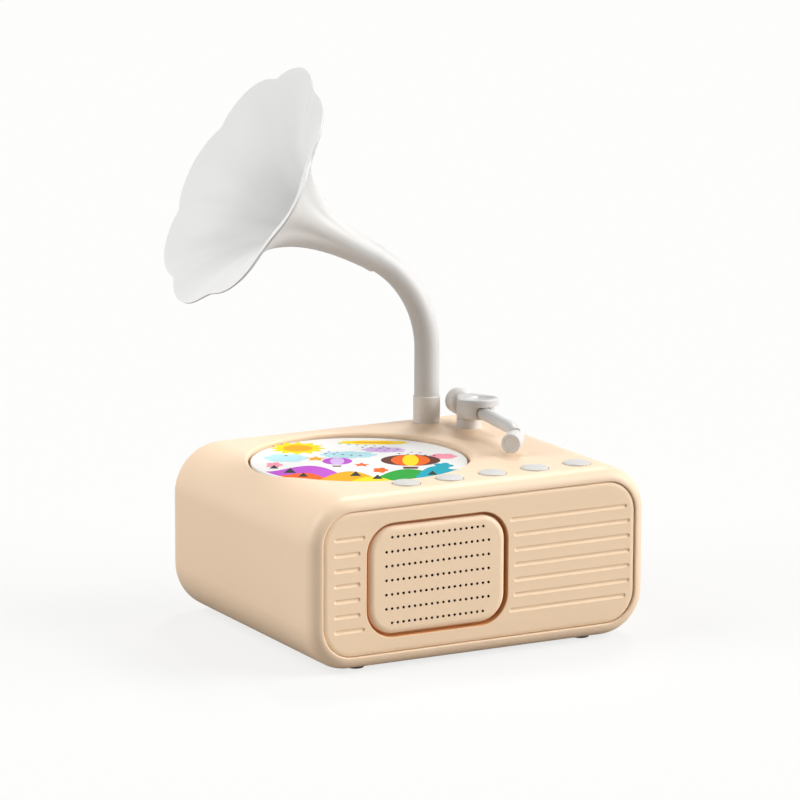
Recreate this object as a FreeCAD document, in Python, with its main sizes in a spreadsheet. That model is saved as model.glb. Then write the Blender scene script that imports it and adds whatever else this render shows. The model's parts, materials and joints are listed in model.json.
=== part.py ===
import FreeCAD, Part
import math
import os
import Sketcher
from types import SimpleNamespace

# Toy gramophone: a rounded box with a disc well, five buttons and a grille,
# a petal horn on a bent tube, and a tonearm. Millimetres, +Z up.
# The origin is on the floor, under the middle of the box. The front faces -Y.

Vector = FreeCAD.Vector

# Driving dimensions: name, size, what it measures
SIZES = [
    ("body_width", 139.3, "housing, left to right"),
    ("body_depth", 114.5, "housing, front to back"),
    ("body_height", 63.5, "housing, base to deck"),
    ("body_corner", 17.0, "housing, corner radius seen from the front"),
    ("wall", 2.6, "housing wall"),
    ("front_round", 4.4, "rounding of the front rim"),
    ("back_round", 7.0, "rounding of the back edge"),
    ("back_inner", 3.2, "rounding of the back edge, inside"),
    ("rim_width", 5.1, "rim round the front panel"),
    ("shoulder_width", 1.8, "ledge that the front panel sits on"),
    ("shoulder_thick", 1.8, "thickness of that ledge"),
    ("panel_gap", 0.15, "gap round a fitted panel"),
    ("seat_gap", 0.05, "gap between pieces that slide or rest"),
    ("foot_proud", 1.0, "foot, below the base"),
    ("foot_sink", 0.8, "foot, depth of its recess"),
    ("foot_radius", 3.3, "foot radius"),
    ("foot_side", 22.65, "feet, in from the sides"),
    ("disc_left", 51.6, "disc centre, in from the left side"),
    ("disc_back", 47.6, "disc centre, behind the button row"),
    ("disc_radius", 40.0, "story disc radius"),
    ("disc_thick", 1.6, "story disc thickness"),
    ("disc_sink", 1.65, "disc top, below the deck"),
    ("disc_gap", 1.0, "gap between the disc and its well"),
    ("platter_thick", 3.0, "platter thickness"),
    ("platter_edge", 0.6, "platter, inside the disc's edge"),
    ("platter_lift", 0.6, "platter, above the well floor"),
    ("platter_hollow", 0.4, "depth of the platter's sunk middle"),
    ("well_wall", 1.6, "wall of the disc well"),
    ("well_floor", 2.2, "floor of the disc well"),
    ("well_round", 1.2, "rounding of the well's rim"),
    ("shaft_radius", 2.0, "platter shaft radius"),
    ("running_gap", 0.05, "radial gap of a turning shaft"),
    ("bush_wall", 1.5, "wall of the shaft's bush"),
    ("bush_flange", 0.4, "thickness of the bush flange"),
    ("gear_module", 0.6, "tooth module of the drive gears"),
    ("gear_thick", 3.0, "drive gear thickness"),
    ("gear_backlash", 0.12, "play between the teeth"),
    ("gear_clear", 1.4, "drive gear, below the well floor"),
    ("gear_hub", 4.5, "drive gear, hub radius"),
    ("gear_window", 2.4, "holes in the drive gear, radius"),
    ("gear_window_out", 9.3, "holes in the drive gear, out from the axis"),
    ("pinion_extra", 0.8, "pinion, longer than the gear is thick"),
    ("motor_radius", 10.0, "motor can radius"),
    ("motor_flat", 7.5, "motor flats, out from the axis"),
    ("motor_length", 25.0, "motor can length"),
    ("motor_shaft_radius", 1.0, "motor shaft radius"),
    ("bracket_thick", 1.6, "motor bracket thickness"),
    ("bracket_width", 32.0, "motor bracket width"),
    ("bracket_depth", 25.0, "motor bracket depth"),
    ("bracket_post", 12.5, "bracket posts, out from the motor axis"),
    ("bracket_post_front", 6.0, "bracket posts, forward of the motor axis"),
    ("post_radius", 2.6, "radius of posts that take a screw"),
    ("screw_radius", 0.95, "screw shank radius"),
    ("screw_head", 1.9, "screw head radius"),
    ("screw_head_thick", 0.8, "screw head thickness"),
    ("screw_bite", 1.5, "screw length in a thin floor"),
    ("button_radius", 5.0, "button radius"),
    ("button_gap", 0.2, "gap round a button"),
    ("button_pitch", 17.8, "button spacing"),
    ("button_right", 22.69, "last button, in from the right side"),
    ("button_front", 12.75, "button row, behind the front face"),
    ("button_proud", 0.5, "button rim, above the deck"),
    ("button_crown", 0.5, "rise of the button's domed top"),
    ("button_travel", 0.8, "button travel"),
    ("tab_reach", 6.3, "button tabs, out from the middle"),
    ("tab_width", 4.0, "button tab width"),
    ("tab_thick", 1.2, "button tab thickness"),
    ("stem_radius", 2.2, "button stem radius"),
    ("press_gap", 0.2, "gap left over a pressed switch"),
    ("switch_size", 6.0, "switch under a button, side"),
    ("switch_height", 3.0, "switch body height"),
    ("plunger_height", 0.5, "switch plunger height"),
    ("plunger_radius", 1.7, "switch plunger radius"),
    ("board_clear", 0.6, "circuit board top, below the well floor"),
    ("board_thick", 1.6, "circuit board thickness"),
    ("board_width", 93.0, "circuit board width"),
    ("board_depth", 15.0, "circuit board depth"),
    ("board_right", 1.0, "circuit board, right of the middle button"),
    ("board_front", 0.45, "gap between the board and the grille's pocket"),
    ("board_post", 2.1, "radius of the posts under the boards"),
    ("board_inset", 3.0, "board screws, in from the board's ends"),
    ("board_edge", 2.5, "board screws, in from the board's sides"),
    ("fascia_thick", 2.6, "front panel thickness"),
    ("fascia_inset", 0.2, "front panel, behind the rim"),
    ("grille_left", 51.6, "grille centre, in from the left side"),
    ("grille_width", 55.8, "grille width"),
    ("grille_height", 39.8, "grille height"),
    ("grille_corner", 10.0, "grille corner radius"),
    ("grille_thick", 2.0, "grille thickness"),
    ("grille_round", 1.7, "rounding of the grille's edge"),
    ("grille_skirt", 1.6, "wall that the grille stands on"),
    ("moat", 1.25, "gap round the grille"),
    ("moat_depth", 3.0, "depth of the grille's pocket"),
    ("moat_round", 0.4, "rounding of the pocket's edge"),
    ("tray_wall", 1.6, "wall of the grille's pocket"),
    ("hole_pitch", 2.334, "grille holes, spacing in a row"),
    ("hole_rows", 5.253, "grille holes, spacing of the rows"),
    ("hole_radius", 0.5, "grille hole radius"),
    ("groove_pitch", 5.62, "panel lines, spacing"),
    ("groove_width", 1.1, "panel line width"),
    ("groove_depth", 0.5, "panel line depth"),
    ("groove_margin", 3.75, "panel lines, out from the grille"),
    ("groove_left", 4.3, "panel lines, in from the panel's left edge"),
    ("groove_right", 2.2, "panel lines, in from the panel's right edge"),
    ("clip_out", 40.0, "panel clips, out from the middle"),
    ("clip_width", 9.0, "panel clip width"),
    ("clip_thick", 1.2, "panel clip thickness"),
    ("speaker_size", 36.0, "speaker flange, side"),
    ("speaker_mouth", 15.0, "speaker opening radius"),
    ("speaker_flange", 1.6, "speaker flange thickness"),
    ("speaker_deep", 9.8, "speaker frame depth"),
    ("speaker_screw", 14.9, "speaker screws, out from its axis"),
    ("speaker_metal", 1.0, "speaker frame, sheet thickness"),
    ("speaker_edge", 2.0, "speaker frame, rim round its opening"),
    ("speaker_neck", 12.2, "speaker frame, radius at its back"),
    ("cone_thick", 0.5, "speaker cone thickness"),
    ("cone_roll", 2.0, "rolled edge of the speaker cone"),
    ("cone_cap", 4.4, "speaker cone's cap, in from the frame's back"),
    ("cone_coil", 3.5, "speaker coil radius"),
    ("magnet_radius", 9.0, "speaker magnet radius"),
    ("magnet_thick", 6.0, "speaker magnet thickness"),
    ("magnet_round", 0.5, "rounding of the magnet"),
    ("cover_width", 104.0, "base cover width"),
    ("cover_depth", 78.0, "base cover depth"),
    ("cover_corner", 8.0, "base cover corner radius"),
    ("cover_thick", 1.6, "base cover thickness at its edge"),
    ("cover_sink", 0.9, "base cover, depth of its screw recesses"),
    ("cover_ledge", 8.0, "ledge under the base cover's edge"),
    ("boss_height", 6.0, "screw bosses over the base"),
    ("battery_radius", 9.2, "battery radius"),
    ("battery_length", 65.0, "battery length"),
    ("battery_back", 18.0, "battery, behind the middle"),
    ("battery_left", 6.0, "battery, left of the middle"),
    ("battery_nub", 1.2, "raised end of the battery"),
    ("holder_wall", 1.5, "battery holder wall"),
    ("holder_height", 12.0, "battery holder height"),
    ("port_right", 35.65, "charging socket, in from the right side"),
    ("port_width", 8.94, "charging socket width"),
    ("port_height", 3.26, "charging socket height"),
    ("port_length", 8.6, "charging socket length"),
    ("port_wall", 0.35, "charging socket shell"),
    ("port_up", 12.0, "top of the charging board, over the floor"),
    ("port_inset", 0.4, "charging socket, inside the back wall"),
    ("charge_width", 34.0, "charging board width"),
    ("charge_depth", 12.0, "charging board depth"),
    ("charge_thick", 1.2, "charging board thickness"),
    ("slider_right", 21.65, "power slider, in from the right side"),
    ("slider_travel", 2.0, "power slider travel"),
    ("slider_width", 2.6, "power slider width"),
    ("slider_height", 1.8, "power slider height"),
    ("slider_proud", 1.0, "power slider, outside the back wall"),
    ("slider_bite", 1.4, "power slider, inside its switch"),
    ("power_width", 9.0, "power switch width"),
    ("power_height", 4.2, "power switch height"),
    ("power_depth", 4.6, "power switch depth"),
    ("horn_right", 35.81, "horn tube, in from the right side"),
    ("horn_back", 11.81, "horn tube, in from the back"),
    ("horn_turn", -4.0, "horn, turned from straight left"),
    ("collar_radius", 5.1, "horn collar radius"),
    ("collar_height", 10.55, "horn collar, above the deck"),
    ("collar_spigot", 4.2, "collar radius under the deck"),
    ("collar_drop", 7.0, "collar, below the deck"),
    ("tube_radius", 4.75, "horn tube radius"),
    ("tube_bore", 2.3, "horn tube bore radius"),
    ("tube_spigot", 3.4, "horn tube radius inside collar and neck"),
    ("tube_plug", 8.0, "horn tube length inside collar and neck"),
    ("tube_rise", 28.0, "straight tube, above the deck"),
    ("bend_radius", 42.0, "horn tube bend radius"),
    ("bend_angle", 60.0, "horn tube bend"),
    ("neck_radius", 5.2, "horn bell radius at its neck"),
    ("bell_length", 62.2, "horn bell, neck to rim"),
    ("bell_radius", 47.0, "horn bell, mean rim radius"),
    ("bell_core", 0.7, "part of the neck radius that flares"),
    ("bell_petal", 1.9, "height of the eight petals at the rim"),
    ("bell_wall", 1.3, "horn bell wall"),
    ("nut_side", 5.8, "nut, axis to flat"),
    ("nut_thick", 3.0, "nut thickness"),
    ("pivot_right", 26.55, "tonearm pivot, in from the right side"),
    ("pivot_back", 27.95, "tonearm pivot, in from the back"),
    ("arm_turn", -7.5, "tonearm, turned from straight forward"),
    ("pivot_radius", 4.6, "tonearm post radius"),
    ("pivot_height", 3.6, "tonearm post height"),
    ("pivot_drop", 5.6, "tonearm post, below the deck"),
    ("pivot_spigot", 3.0, "tonearm post radius under the deck"),
    ("pin_radius", 1.5, "tonearm pin radius"),
    ("pin_length", 9.0, "tonearm pin, above the deck"),
    ("hub_waist", 5.5, "tonearm hub, where it widens, above the deck"),
    ("hub_top", 10.6, "tonearm hub top, above the deck"),
    ("hub_front", 9.6, "tonearm hub, front end forward of the pivot"),
    ("hub_radius", 6.1, "tonearm hub, front end radius"),
    ("hub_round", 1.6, "tonearm hub, rounding under its front"),
    ("cap_radius", 7.8, "tonearm cap, front end radius"),
    ("cap_front", 9.3, "tonearm cap, front end forward of the pivot"),
    ("cap_low", 1.5, "tonearm cap thickness at its back end"),
    ("cap_high", 3.0, "tonearm cap thickness at its front end"),
    ("cap_round", 0.8, "rounding of the cap's upper edge"),
    ("cap_dish", 5.2, "radius of the dish in the cap"),
    ("dish_deep", 0.8, "depth of the dish in the cap"),
    ("dish_side", 0.8, "dish, beside the middle of the cap"),
    ("arm_radius", 2.42, "tonearm tube radius"),
    ("arm_mouth", 0.7, "gap round the tonearm tube where it enters the hub"),
    ("arm_height", 8.1, "tonearm axis, above the deck"),
    ("arm_straight", 41.0, "tonearm, straight as far as"),
    ("arm_bend", 8.0, "tonearm bend radius"),
    ("arm_dip", 32.0, "tonearm bend down"),
    ("arm_socket", 4.0, "tonearm tube, inside the hub"),
    ("head_radius", 3.65, "tonearm head radius"),
    ("head_length", 9.5, "tonearm head length"),
    ("head_reach", 46.8, "tonearm head, back end from the pivot"),
    ("head_height", 5.0, "tonearm head axis, above the deck"),
    ("head_turn", 34.5, "tonearm head, turned from the arm"),
    ("weight_radius", 4.95, "counterweight radius"),
    ("weight_start", 5.0, "counterweight, behind the pivot"),
    ("weight_length", 8.0, "counterweight length"),
    ("weight_round", 1.6, "counterweight edge rounding"),
]
BUTTONS = 5
GROOVE_ROWS = 7
LONG_ROWS = 5
LONG_ROW_HOLES = 19
SHORT_ROW_HOLES = 17
GEAR_TEETH = 48
GEAR_WINDOWS = 6
PINION_TEETH = 12
PETALS = 8
PRESSURE_ANGLE = 20.0


class Measure:
    """A size, or a sum of sizes, that knows both its number and its formula in the sheet."""

    def __init__(self, text, value):
        self.text = text
        self.value = float(value)

    def __add__(self, other):
        other = measure(other)
        return Measure(f"({self.text} + {other.text})", self.value + other.value)

    def __radd__(self, other):
        return measure(other) + self

    def __sub__(self, other):
        other = measure(other)
        return Measure(f"({self.text} - {other.text})", self.value - other.value)

    def __rsub__(self, other):
        return measure(other) - self

    def __mul__(self, other):
        other = measure(other)
        return Measure(f"({self.text} * {other.text})", self.value * other.value)

    def __rmul__(self, other):
        return measure(other) * self

    def __truediv__(self, other):
        other = measure(other)
        return Measure(f"({self.text} / {other.text})", self.value / other.value)

    def __neg__(self):
        return measure(0) - self

    def __float__(self):
        return self.value


def measure(size):
    """A plain number as a Measure."""
    return size if isinstance(size, Measure) else Measure(f"{float(size):.6f}", size)


def sized_sheet(document):
    """The sheet of driving dimensions, and the same sizes by name."""
    sheet = document.addObject("Spreadsheet::Sheet", "sizes")
    for row, (name, value, note) in enumerate(SIZES, 1):
        sheet.set(f"A{row}", note)
        sheet.set(f"B{row}", str(value))
        sheet.setAlias(f"B{row}", name)
    document.recompute()
    return SimpleNamespace(**{name: Measure(f"sizes.{name}", value) for name, value, _ in SIZES})


doc = FreeCAD.newDocument("sound_machine")
s = sized_sheet(doc)
PIECES = []


# Helpers for features


def tie(thing, path, size):
    """Bind one property of an object to a size."""
    thing.setExpression(path, measure(size).text)


def new_piece(label):
    """A new body, which becomes one sub-part."""
    piece = doc.addObject("PartDesign::Body", label)
    piece.Label = label
    PIECES.append(piece)
    return piece


def place(piece, x=0, y=0, z=0, turn=0):
    """Place a sub-part: a point, and a turn about the vertical."""
    for letter, size in zip("xyz", (x, y, z)):
        tie(piece, f"Placement.Base.{letter}", size)
    tie(piece, "Placement.Rotation.Angle", turn)


def new_sketch(piece, role, height=0, name="profile"):
    """A sketch on one of the body's origin planes, moved along the plane's normal."""
    sketch = piece.newObject("Sketcher::SketchObject", name)
    plane = next(p for p in piece.Origin.OriginFeatures if p.Role == role)
    sketch.AttachmentSupport = [(plane, "")]
    sketch.MapMode = "FlatFace"
    tie(sketch, "AttachmentOffset.Base.z", height)
    return sketch


def fix(sketch, kind, where, size):
    """One dimension of a sketch, bound to a size."""
    size = measure(size)
    index = sketch.addConstraint(Sketcher.Constraint(kind, *where, size.value))
    sketch.setExpression(f"Constraints[{index}]", size.text)


def draw_circle(sketch, x, y, radius):
    x, y, radius = measure(x), measure(y), measure(radius)
    centre = Vector(x.value, y.value, 0)
    index = sketch.addGeometry(Part.Circle(centre, Vector(0, 0, 1), radius.value))
    fix(sketch, "Radius", (index,), radius)
    fix(sketch, "DistanceX", (-1, 1, index, 3), x)
    fix(sketch, "DistanceY", (-1, 1, index, 3), y)


def draw_polygon(sketch, points):
    """A closed outline of straight lines through the points."""
    points = [(measure(x), measure(y)) for x, y in points]
    first = len(sketch.Geometry)
    for (ax, ay), (bx, by) in zip(points, points[1:] + points[:1]):
        start, end = Vector(ax.value, ay.value, 0), Vector(bx.value, by.value, 0)
        sketch.addGeometry(Part.LineSegment(start, end))
    for number, (x, y) in enumerate(points):
        line, following = first + number, first + (number + 1) % len(points)
        sketch.addConstraint(Sketcher.Constraint("Coincident", line, 2, following, 1))
        fix(sketch, "DistanceX", (-1, 1, line, 1), x)
        fix(sketch, "DistanceY", (-1, 1, line, 1), y)


def draw_rectangle(sketch, x, y, width, height):
    x, y = measure(x), measure(y)
    left, right = x - width / 2, x + width / 2
    low, high = y - height / 2, y + height / 2
    draw_polygon(sketch, [(left, low), (right, low), (right, high), (left, high)])


def draw_rounded(sketch, x, y, width, height, radius):
    """A rectangle with round corners, centred on a point."""
    x, y, width, height, radius = [measure(size) for size in (x, y, width, height, radius)]
    left, right = x - width / 2, x + width / 2
    low, high = y - height / 2, y + height / 2
    r = radius.value
    quarter = math.pi / 2
    corners = [
        (right.value - r, low.value + r, -quarter),
        (right.value - r, high.value - r, 0),
        (left.value + r, high.value - r, quarter),
        (left.value + r, low.value + r, math.pi),
    ]
    first = len(sketch.Geometry)
    for number, (cx, cy, turn) in enumerate(corners):
        px, py, before = corners[number - 1]
        before += quarter
        start = Vector(px + r * math.cos(before), py + r * math.sin(before), 0)
        end = Vector(cx + r * math.cos(turn), cy + r * math.sin(turn), 0)
        sketch.addGeometry(Part.LineSegment(start, end))
        circle = Part.Circle(Vector(cx, cy, 0), Vector(0, 0, 1), r)
        sketch.addGeometry(Part.ArcOfCircle(circle, turn, turn + quarter))
    for number in range(4):
        line, arc = first + 2 * number, first + 2 * number + 1
        following = first + (2 * number + 2) % 8
        sketch.addConstraint(Sketcher.Constraint("Tangent", line, 2, arc, 1))
        sketch.addConstraint(Sketcher.Constraint("Tangent", arc, 2, following, 1))
        direction = "Horizontal" if number % 2 == 0 else "Vertical"
        sketch.addConstraint(Sketcher.Constraint(direction, line))
        if number:
            sketch.addConstraint(Sketcher.Constraint("Equal", first + 1, arc))
    fix(sketch, "Radius", (first + 1,), radius)
    fix(sketch, "DistanceY", (-1, 1, first, 1), low)
    fix(sketch, "DistanceX", (-1, 1, first + 2, 1), right)
    fix(sketch, "DistanceY", (-1, 1, first + 4, 1), high)
    fix(sketch, "DistanceX", (-1, 1, first + 6, 1), left)


def draw_belt(sketch, x1, y1, radius1, x2, y2, radius2):
    """Two half rounds joined by straight sides that touch both."""
    x1, y1, radius1, x2, y2, radius2 = [measure(n) for n in (x1, y1, radius1, x2, y2, radius2)]
    a, b = Vector(x1.value, y1.value, 0), Vector(x2.value, y2.value, 0)
    along = math.atan2(b.y - a.y, b.x - a.x)
    lean = math.acos((radius1.value - radius2.value) / (b - a).Length)
    first = len(sketch.Geometry)
    up = Vector(0, 0, 1)
    ends = []
    for side in (-1, 1):
        turn = along + side * lean
        out = Vector(math.cos(turn), math.sin(turn), 0)
        ends.append((a + out * radius1.value, b + out * radius2.value, turn))
    sketch.addGeometry(Part.LineSegment(ends[0][0], ends[0][1]))
    far = Part.Circle(b, up, radius2.value)
    sketch.addGeometry(Part.ArcOfCircle(far, ends[0][2], ends[1][2]))
    sketch.addGeometry(Part.LineSegment(ends[1][1], ends[1][0]))
    near = Part.Circle(a, up, radius1.value)
    sketch.addGeometry(Part.ArcOfCircle(near, ends[1][2], ends[0][2] + 2 * math.pi))
    for number in range(4):
        here, following = first + number, first + (number + 1) % 4
        sketch.addConstraint(Sketcher.Constraint("Tangent", here, 2, following, 1))
    fix(sketch, "Radius", (first + 1,), radius2)
    fix(sketch, "Radius", (first + 3,), radius1)
    for index, x, y in ((first + 1, x2, y2), (first + 3, x1, y1)):
        fix(sketch, "DistanceX", (-1, 1, index, 3), x)
        fix(sketch, "DistanceY", (-1, 1, index, 3), y)


def pad(piece, sketch, length, reverse=False):
    """Raise a profile along its sketch's normal, or against it."""
    feature = piece.newObject("PartDesign::Pad", "pad")
    feature.Profile = sketch
    feature.Reversed = reverse
    tie(feature, "Length", length)
    return feature


def pocket(piece, sketch, length, reverse=False):
    """Cut a profile against its sketch's normal, or along it."""
    feature = piece.newObject("PartDesign::Pocket", "pocket")
    feature.Profile = sketch
    feature.Reversed = reverse
    tie(feature, "Length", length)
    return feature


def revolve(piece, sketch, axis="V_Axis", cut=False):
    """Turn a profile once round an axis of its sketch."""
    kind = "PartDesign::Groove" if cut else "PartDesign::Revolution"
    feature = piece.newObject(kind, "turned")
    feature.Profile = sketch
    feature.ReferenceAxis = (sketch, [axis])
    feature.Angle = 360
    return feature


def fillet(piece, radius, chosen):
    """Round the edges of the body that the test picks."""
    doc.recompute()
    base = piece.Tip
    names = [f"Edge{n}" for n, edge in enumerate(base.Shape.Edges, 1) if chosen(edge)]
    if not names:
        raise RuntimeError(f"{piece.Label}: no edge to round")
    feature = piece.newObject("PartDesign::Fillet", "round")
    feature.Base = (base, names)
    tie(feature, "Radius", radius)
    doc.recompute()
    return feature


def lies_at(letter, value):
    """A test for edges that lie in one plane across X, Y or Z."""

    def test(edge):
        box = edge.BoundBox
        low, high = getattr(box, letter + "Min"), getattr(box, letter + "Max")
        return abs(low - float(value)) < 0.01 and abs(high - float(value)) < 0.01

    return test


def round_edge(letter, value, radius):
    """A test for circular edges of one radius in one plane."""
    flat = lies_at(letter, value)

    def test(edge):
        curve = edge.Curve
        return flat(edge) and hasattr(curve, "Radius") and abs(curve.Radius - float(radius)) < 0.01

    return test


def shape_piece(label, shape):
    """A sub-part whose form is a formula, given as a finished shape."""
    piece = doc.addObject("Part::Feature", label)
    piece.Label = label
    piece.Shape = shape
    PIECES.append(piece)
    return piece


# Places that several pieces share
deck = s.foot_proud + s.body_height
middle = s.foot_proud + s.body_height / 2
front = s.body_depth / 2
side = s.body_width / 2
button_y = s.button_front - front
disc_x = s.disc_left - side
disc_y = button_y + s.disc_back
grille_x = s.grille_left - side
horn_x = side - s.horn_right
horn_y = front - s.horn_back
pivot_x = side - s.pivot_right
pivot_y = front - s.pivot_back
port_x = side - s.port_right
slider_x = side - s.slider_right
window_width = s.body_width - 2 * s.rim_width
window_height = s.body_height - 2 * s.rim_width
window_corner = s.body_corner - s.rim_width
front_shell = s.fascia_inset + s.fascia_thick + s.shoulder_thick
well_radius = s.disc_radius + s.disc_gap
platter_top = s.disc_sink + s.disc_thick + s.seat_gap
well_depth = platter_top + s.platter_thick + s.platter_lift
well_under = deck - well_depth - s.well_floor
bush_radius = s.shaft_radius + s.running_gap + s.bush_wall
gear_reach = s.gear_module * (GEAR_TEETH + PINION_TEETH) / 2
gear_top = well_under - s.gear_clear
motor_y = disc_y - gear_reach
bracket_under = gear_top - s.gear_thick - s.pinion_extra - s.bracket_thick
board_top = well_under - s.board_clear
board_out = s.board_width / 2 - s.board_inset
board_side = s.board_depth / 2 - s.board_edge
base_inside = s.foot_proud + s.wall
screw_out = s.cover_width / 2 - s.cover_ledge / 2
screw_side = s.cover_depth / 2 - s.cover_ledge / 2
pocket_back = front - s.fascia_inset - s.moat_depth - s.tray_wall
board_y = s.board_front + s.board_depth / 2 - pocket_back
board_x = side - s.button_right - (BUTTONS - 1) / 2 * s.button_pitch + s.board_right
charge_x = (port_x + slider_x) / 2
charge_y = front - s.wall - s.seat_gap - s.charge_depth / 2
charge_out = s.charge_width / 2 - s.board_inset
port_z = s.port_up + s.port_height / 2
slider_z = s.port_up + s.power_height / 2
hook_z = window_height / 2 - s.shoulder_width - s.panel_gap


def button_x(number):
    """Where a button stands, counted from the left."""
    return side - s.button_right - (BUTTONS - 1 - number) * s.button_pitch


def board_screw_points():
    """Where the screws of the main board stand."""
    return [
        (board_x + across * board_out, board_y + along * board_side)
        for across in (-1, 1)
        for along in (-1, 1)
    ]


def base_screw_points():
    """Where the screws of the base cover stand."""
    return [(across * screw_out, along * screw_side) for across in (-1, 1) for along in (-1, 1)]


def foot_points():
    """Where the feet stand: midway between the base cover and the front or back face."""
    out, row = side - s.foot_side, (s.cover_depth / 2 + front) / 2
    return [(across * out, along * row) for across in (-1, 1) for along in (-1, 1)]


def bracket_points():
    """Where the posts of the motor bracket stand, from the motor axis."""
    return [(across * s.bracket_post, -s.bracket_post_front) for across in (-1, 1)]


def speaker_points():
    """Where the screws of the speaker stand, from its axis."""
    return [(across * s.speaker_screw, up * s.speaker_screw) for across in (-1, 1) for up in (-1, 1)]


def charge_points():
    """Where the posts of the charging board stand."""
    return [(charge_x + across * charge_out, charge_y - s.board_edge) for across in (-1, 1)]


# Housing and base


def make_housing():
    """Rounded sleeve with a closed back, the disc well, and every hole in the deck, back and base."""
    piece = new_piece("housing")
    outline = new_sketch(piece, "XZ_Plane", front, "outline")
    draw_rounded(outline, 0, middle, s.body_width, s.body_height, s.body_corner)
    pad(piece, outline, s.body_depth, reverse=True)
    fillet(piece, s.front_round, lies_at("Y", -front))
    fillet(piece, s.back_round, lies_at("Y", front))

    cavity = new_sketch(piece, "XZ_Plane", front - front_shell, "cavity")
    inside = (s.body_width - 2 * s.wall, s.body_height - 2 * s.wall, s.body_corner - s.wall)
    draw_rounded(cavity, 0, middle, *inside)
    pocket(piece, cavity, s.body_depth - front_shell - s.wall)
    fillet(piece, s.back_inner, lies_at("Y", front - s.wall))

    window = new_sketch(piece, "XZ_Plane", front, "window")
    draw_rounded(window, 0, middle, window_width, window_height, window_corner)
    pocket(piece, window, s.fascia_inset + s.fascia_thick)
    mouth = new_sketch(piece, "XZ_Plane", front, "mouth")
    step = s.shoulder_width
    draw_rounded(
        mouth, 0, middle, window_width - 2 * step, window_height - 2 * step, window_corner - step
    )
    pocket(piece, mouth, front_shell + s.wall)

    well = new_sketch(piece, "XY_Plane", well_under, "well")
    draw_circle(well, disc_x, disc_y, well_radius + s.well_wall)
    pad(piece, well, well_depth + s.well_floor - s.wall / 2)
    sunk = new_sketch(piece, "XY_Plane", deck, "sunk")
    draw_circle(sunk, disc_x, disc_y, well_radius)
    pocket(piece, sunk, well_depth)
    fillet(piece, s.well_round, round_edge("Z", deck, well_radius))

    posts = new_sketch(piece, "XY_Plane", board_top, "board_posts")
    for x, y in board_screw_points():
        draw_circle(posts, x, y, s.board_post)
    pad(piece, posts, deck - s.wall / 2 - board_top)
    bosses = new_sketch(piece, "XY_Plane", s.foot_proud + s.cover_thick, "base_bosses")
    for x, y in base_screw_points():
        draw_circle(bosses, x, y, s.post_radius)
    pad(piece, bosses, s.boss_height)
    rests = new_sketch(piece, "XY_Plane", s.foot_proud + s.wall / 2, "charge_posts")
    for x, y in charge_points():
        draw_circle(rests, x, y, s.board_post)
    pad(piece, rests, s.port_up - s.charge_thick - s.foot_proud - s.wall / 2)

    holes = new_sketch(piece, "XY_Plane", deck, "deck_holes")
    for number in range(BUTTONS):
        draw_circle(holes, button_x(number), button_y, s.button_radius + s.button_gap)
    draw_circle(holes, horn_x, horn_y, s.collar_spigot + s.seat_gap)
    draw_circle(holes, pivot_x, pivot_y, s.pivot_spigot + s.seat_gap)
    pocket(piece, holes, s.wall)
    bore = new_sketch(piece, "XY_Plane", deck - well_depth, "shaft_hole")
    draw_circle(bore, disc_x, disc_y, bush_radius + s.seat_gap)
    pocket(piece, bore, s.well_floor)

    pilots = new_sketch(piece, "XY_Plane", well_under, "bracket_pilots")
    for x, y in bracket_points():
        draw_circle(pilots, disc_x + x, motor_y + y, s.screw_radius)
    pocket(piece, pilots, s.screw_bite, reverse=True)
    pilots = new_sketch(piece, "XY_Plane", board_top, "board_pilots")
    for x, y in board_screw_points():
        draw_circle(pilots, x, y, s.screw_radius)
    pocket(piece, pilots, 2 * s.screw_bite, reverse=True)
    pilots = new_sketch(piece, "XY_Plane", s.port_up - s.charge_thick, "charge_pilots")
    for x, y in charge_points():
        draw_circle(pilots, x, y, s.screw_radius)
    pocket(piece, pilots, 2 * s.screw_bite)

    rebate = new_sketch(piece, "XY_Plane", s.foot_proud, "cover_rebate")
    draw_rounded(rebate, 0, 0, s.cover_width, s.cover_depth, s.cover_corner)
    pocket(piece, rebate, s.cover_thick, reverse=True)
    hatch = new_sketch(piece, "XY_Plane", s.foot_proud, "hatch")
    inner = (s.cover_width - 2 * s.cover_ledge, s.cover_depth - 2 * s.cover_ledge)
    draw_rectangle(hatch, 0, 0, *inner)
    pocket(piece, hatch, s.wall, reverse=True)
    pilots = new_sketch(piece, "XY_Plane", s.foot_proud, "base_pilots")
    for x, y in base_screw_points():
        draw_circle(pilots, x, y, s.screw_radius)
    pocket(piece, pilots, s.cover_thick + s.boss_height - s.screw_bite, reverse=True)
    sockets = new_sketch(piece, "XY_Plane", s.foot_proud, "foot_sockets")
    for x, y in foot_points():
        draw_circle(sockets, x, y, s.foot_radius)
    pocket(piece, sockets, s.foot_sink, reverse=True)

    slots = new_sketch(piece, "XZ_Plane", -front, "back_slots")
    loose = 4 * s.panel_gap
    half = s.port_height / 2 + loose / 2
    reach = s.port_width / 2 + loose / 2 - half
    draw_belt(slots, port_x - reach, port_z, half, port_x + reach, port_z, half)
    slot_width = s.slider_width + s.slider_travel + loose
    slot_x = slider_x + s.slider_travel / 2
    draw_rectangle(slots, slot_x, slider_z, slot_width, s.slider_height + loose)
    pocket(piece, slots, s.wall, reverse=True)


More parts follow.
